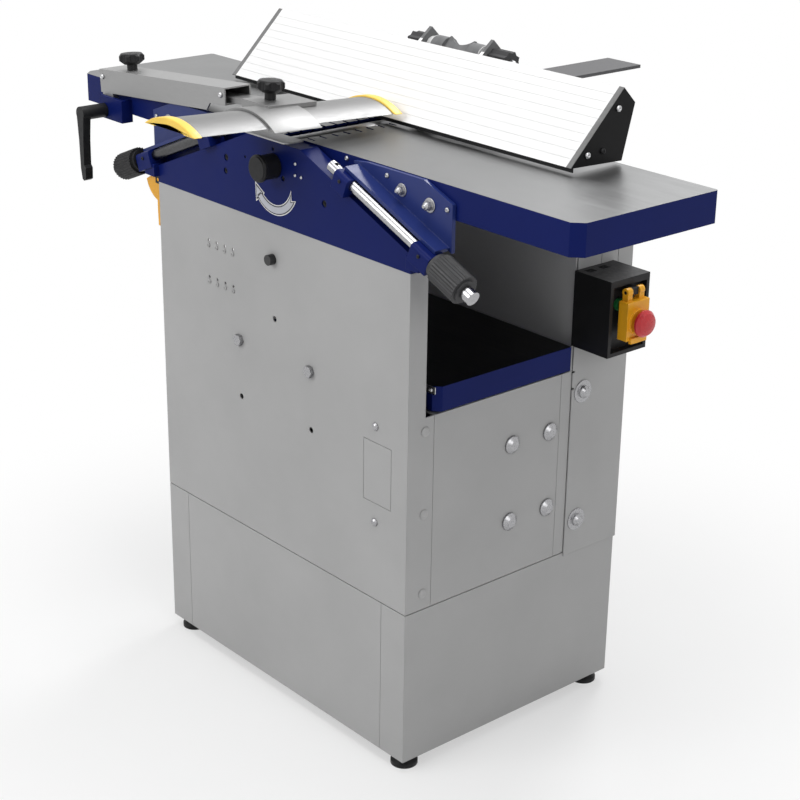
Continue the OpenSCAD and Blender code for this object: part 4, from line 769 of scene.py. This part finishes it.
# The floor keeps the shadow near the machine and turns into the white backdrop away from it
FADE_NEAR = 0.5
FADE_FAR = 1.1
NEAR_SHARE = 0.5
FLOOR_REACH = 12.0
floor = Tree("pale_floor")
floor.link(floor.hue((0.85, 0.85, 0.85), 3.0, 0.01), floor.shader.inputs["Base Color"])
floor.value(Roughness=0.9, Specular_IOR_Level=0.1)
away = floor.nodes.new("ShaderNodeVectorMath")
away.operation = "LENGTH"
floor.link(floor.place.outputs["Object"], away.inputs[0])
fade = floor.nodes.new("ShaderNodeMapRange")
fade.interpolation_type = "SMOOTHSTEP"
fade.inputs["From Min"].default_value = FADE_NEAR
fade.inputs["From Max"].default_value = FADE_FAR
fade.inputs["To Min"].default_value = NEAR_SHARE
fade.inputs["To Max"].default_value = 1.0
floor.link(away.outputs["Value"], fade.inputs["Value"])
share = floor.sum("MULTIPLY", seen_directly(floor.nodes, floor.links), fade.outputs["Result"])
glow = floor.nodes.new("ShaderNodeEmission")
glow.inputs["Color"].default_value = (1.0, 1.0, 1.0, 1.0)
blend = floor.nodes.new("ShaderNodeMixShader")
floor.link(share, blend.inputs["Fac"])
floor.link(floor.shader.outputs["BSDF"], blend.inputs[1])
floor.link(glow.outputs["Emission"], blend.inputs[2])
floor.link(blend.outputs["Shader"], floor.nodes["Material Output"].inputs["Surface"])
floor_corners = [(x * FLOOR_REACH, y * FLOOR_REACH, 0) for x, y in ((-1, -1), (1, -1), (1, 1), (-1, 1))]
stage_plane("floor", floor_corners, floor.material)

SKY_LIGHT = 0.32
SKY_SEEN = 1.0
world = bpy.data.worlds.new("studio")
bpy.context.scene.world = world
world.use_nodes = True
sky = world.node_tree
level = sky.nodes.new("ShaderNodeMapRange")
level.inputs["To Min"].default_value = SKY_LIGHT
level.inputs["To Max"].default_value = SKY_SEEN
sky.links.new(seen_directly(sky.nodes, sky.links), level.inputs["Value"])
sky.nodes["Background"].inputs["Color"].default_value = (1.0, 1.0, 1.0, 1.0)
sky.links.new(level.outputs["Result"], sky.nodes["Background"].inputs["Strength"])


def lamp(name, spot, target, size, power):
    """A round soft lamp that looks at a target."""
    data = bpy.data.lights.new(name, "AREA")
    data.shape = "DISK"
    data.size = size
    data.energy = power
    thing = bpy.data.objects.new(name, data)
    bpy.context.scene.collection.objects.link(thing)
    thing.location = spot
    thing.rotation_euler = (Vector(target) - Vector(spot)).to_track_quat("-Z", "Y").to_euler()


lamp("key", spot=(-0.9, -3.4, 2.6), target=(0, 0, 0.6), size=2.2, power=56)
lamp("side", spot=(3.4, -0.6, 2.2), target=(0, 0, 0.6), size=2.0, power=22)
lamp("top", spot=(0.4, -0.4, 3.6), target=(0, 0, 0.8), size=2.4, power=52)
lamp("back", spot=(-0.75, 1.9, 3.1), target=(0, 0, 0.7), size=1.0, power=40)

FOCAL_PX = 1801.68
IMAGE_PX = 800
SENSOR = 36.0
EYE = (1.9459, -1.6194, 1.4706)
AZIMUTH = math.radians(48.89)
ELEVATION = math.radians(21.92)
ROLL = math.radians(0.84)
level_back = Vector((math.sin(AZIMUTH), -math.cos(AZIMUTH), 0))
back = math.cos(ELEVATION) * level_back + Vector((0, 0, math.sin(ELEVATION)))
level_right = Vector((math.cos(AZIMUTH), math.sin(AZIMUTH), 0))
level_up = back.cross(level_right)
right = math.cos(ROLL) * level_right + math.sin(ROLL) * level_up
up = -math.sin(ROLL) * level_right + math.cos(ROLL) * level_up
eye = bpy.data.cameras.new("camera")
eye.sensor_fit = "HORIZONTAL"
eye.sensor_width = SENSOR
eye.lens = SENSOR * FOCAL_PX / IMAGE_PX
eye.clip_end = 60.0
camera = bpy.data.objects.new("camera", eye)
bpy.context.scene.collection.objects.link(camera)
pose = Matrix((right, up, back)).transposed().to_4x4()
pose.translation = at(*EYE)
camera.matrix_world = pose
bpy.context.scene.camera = camera
bpy.context.scene.view_settings.view_transform = "Standard"
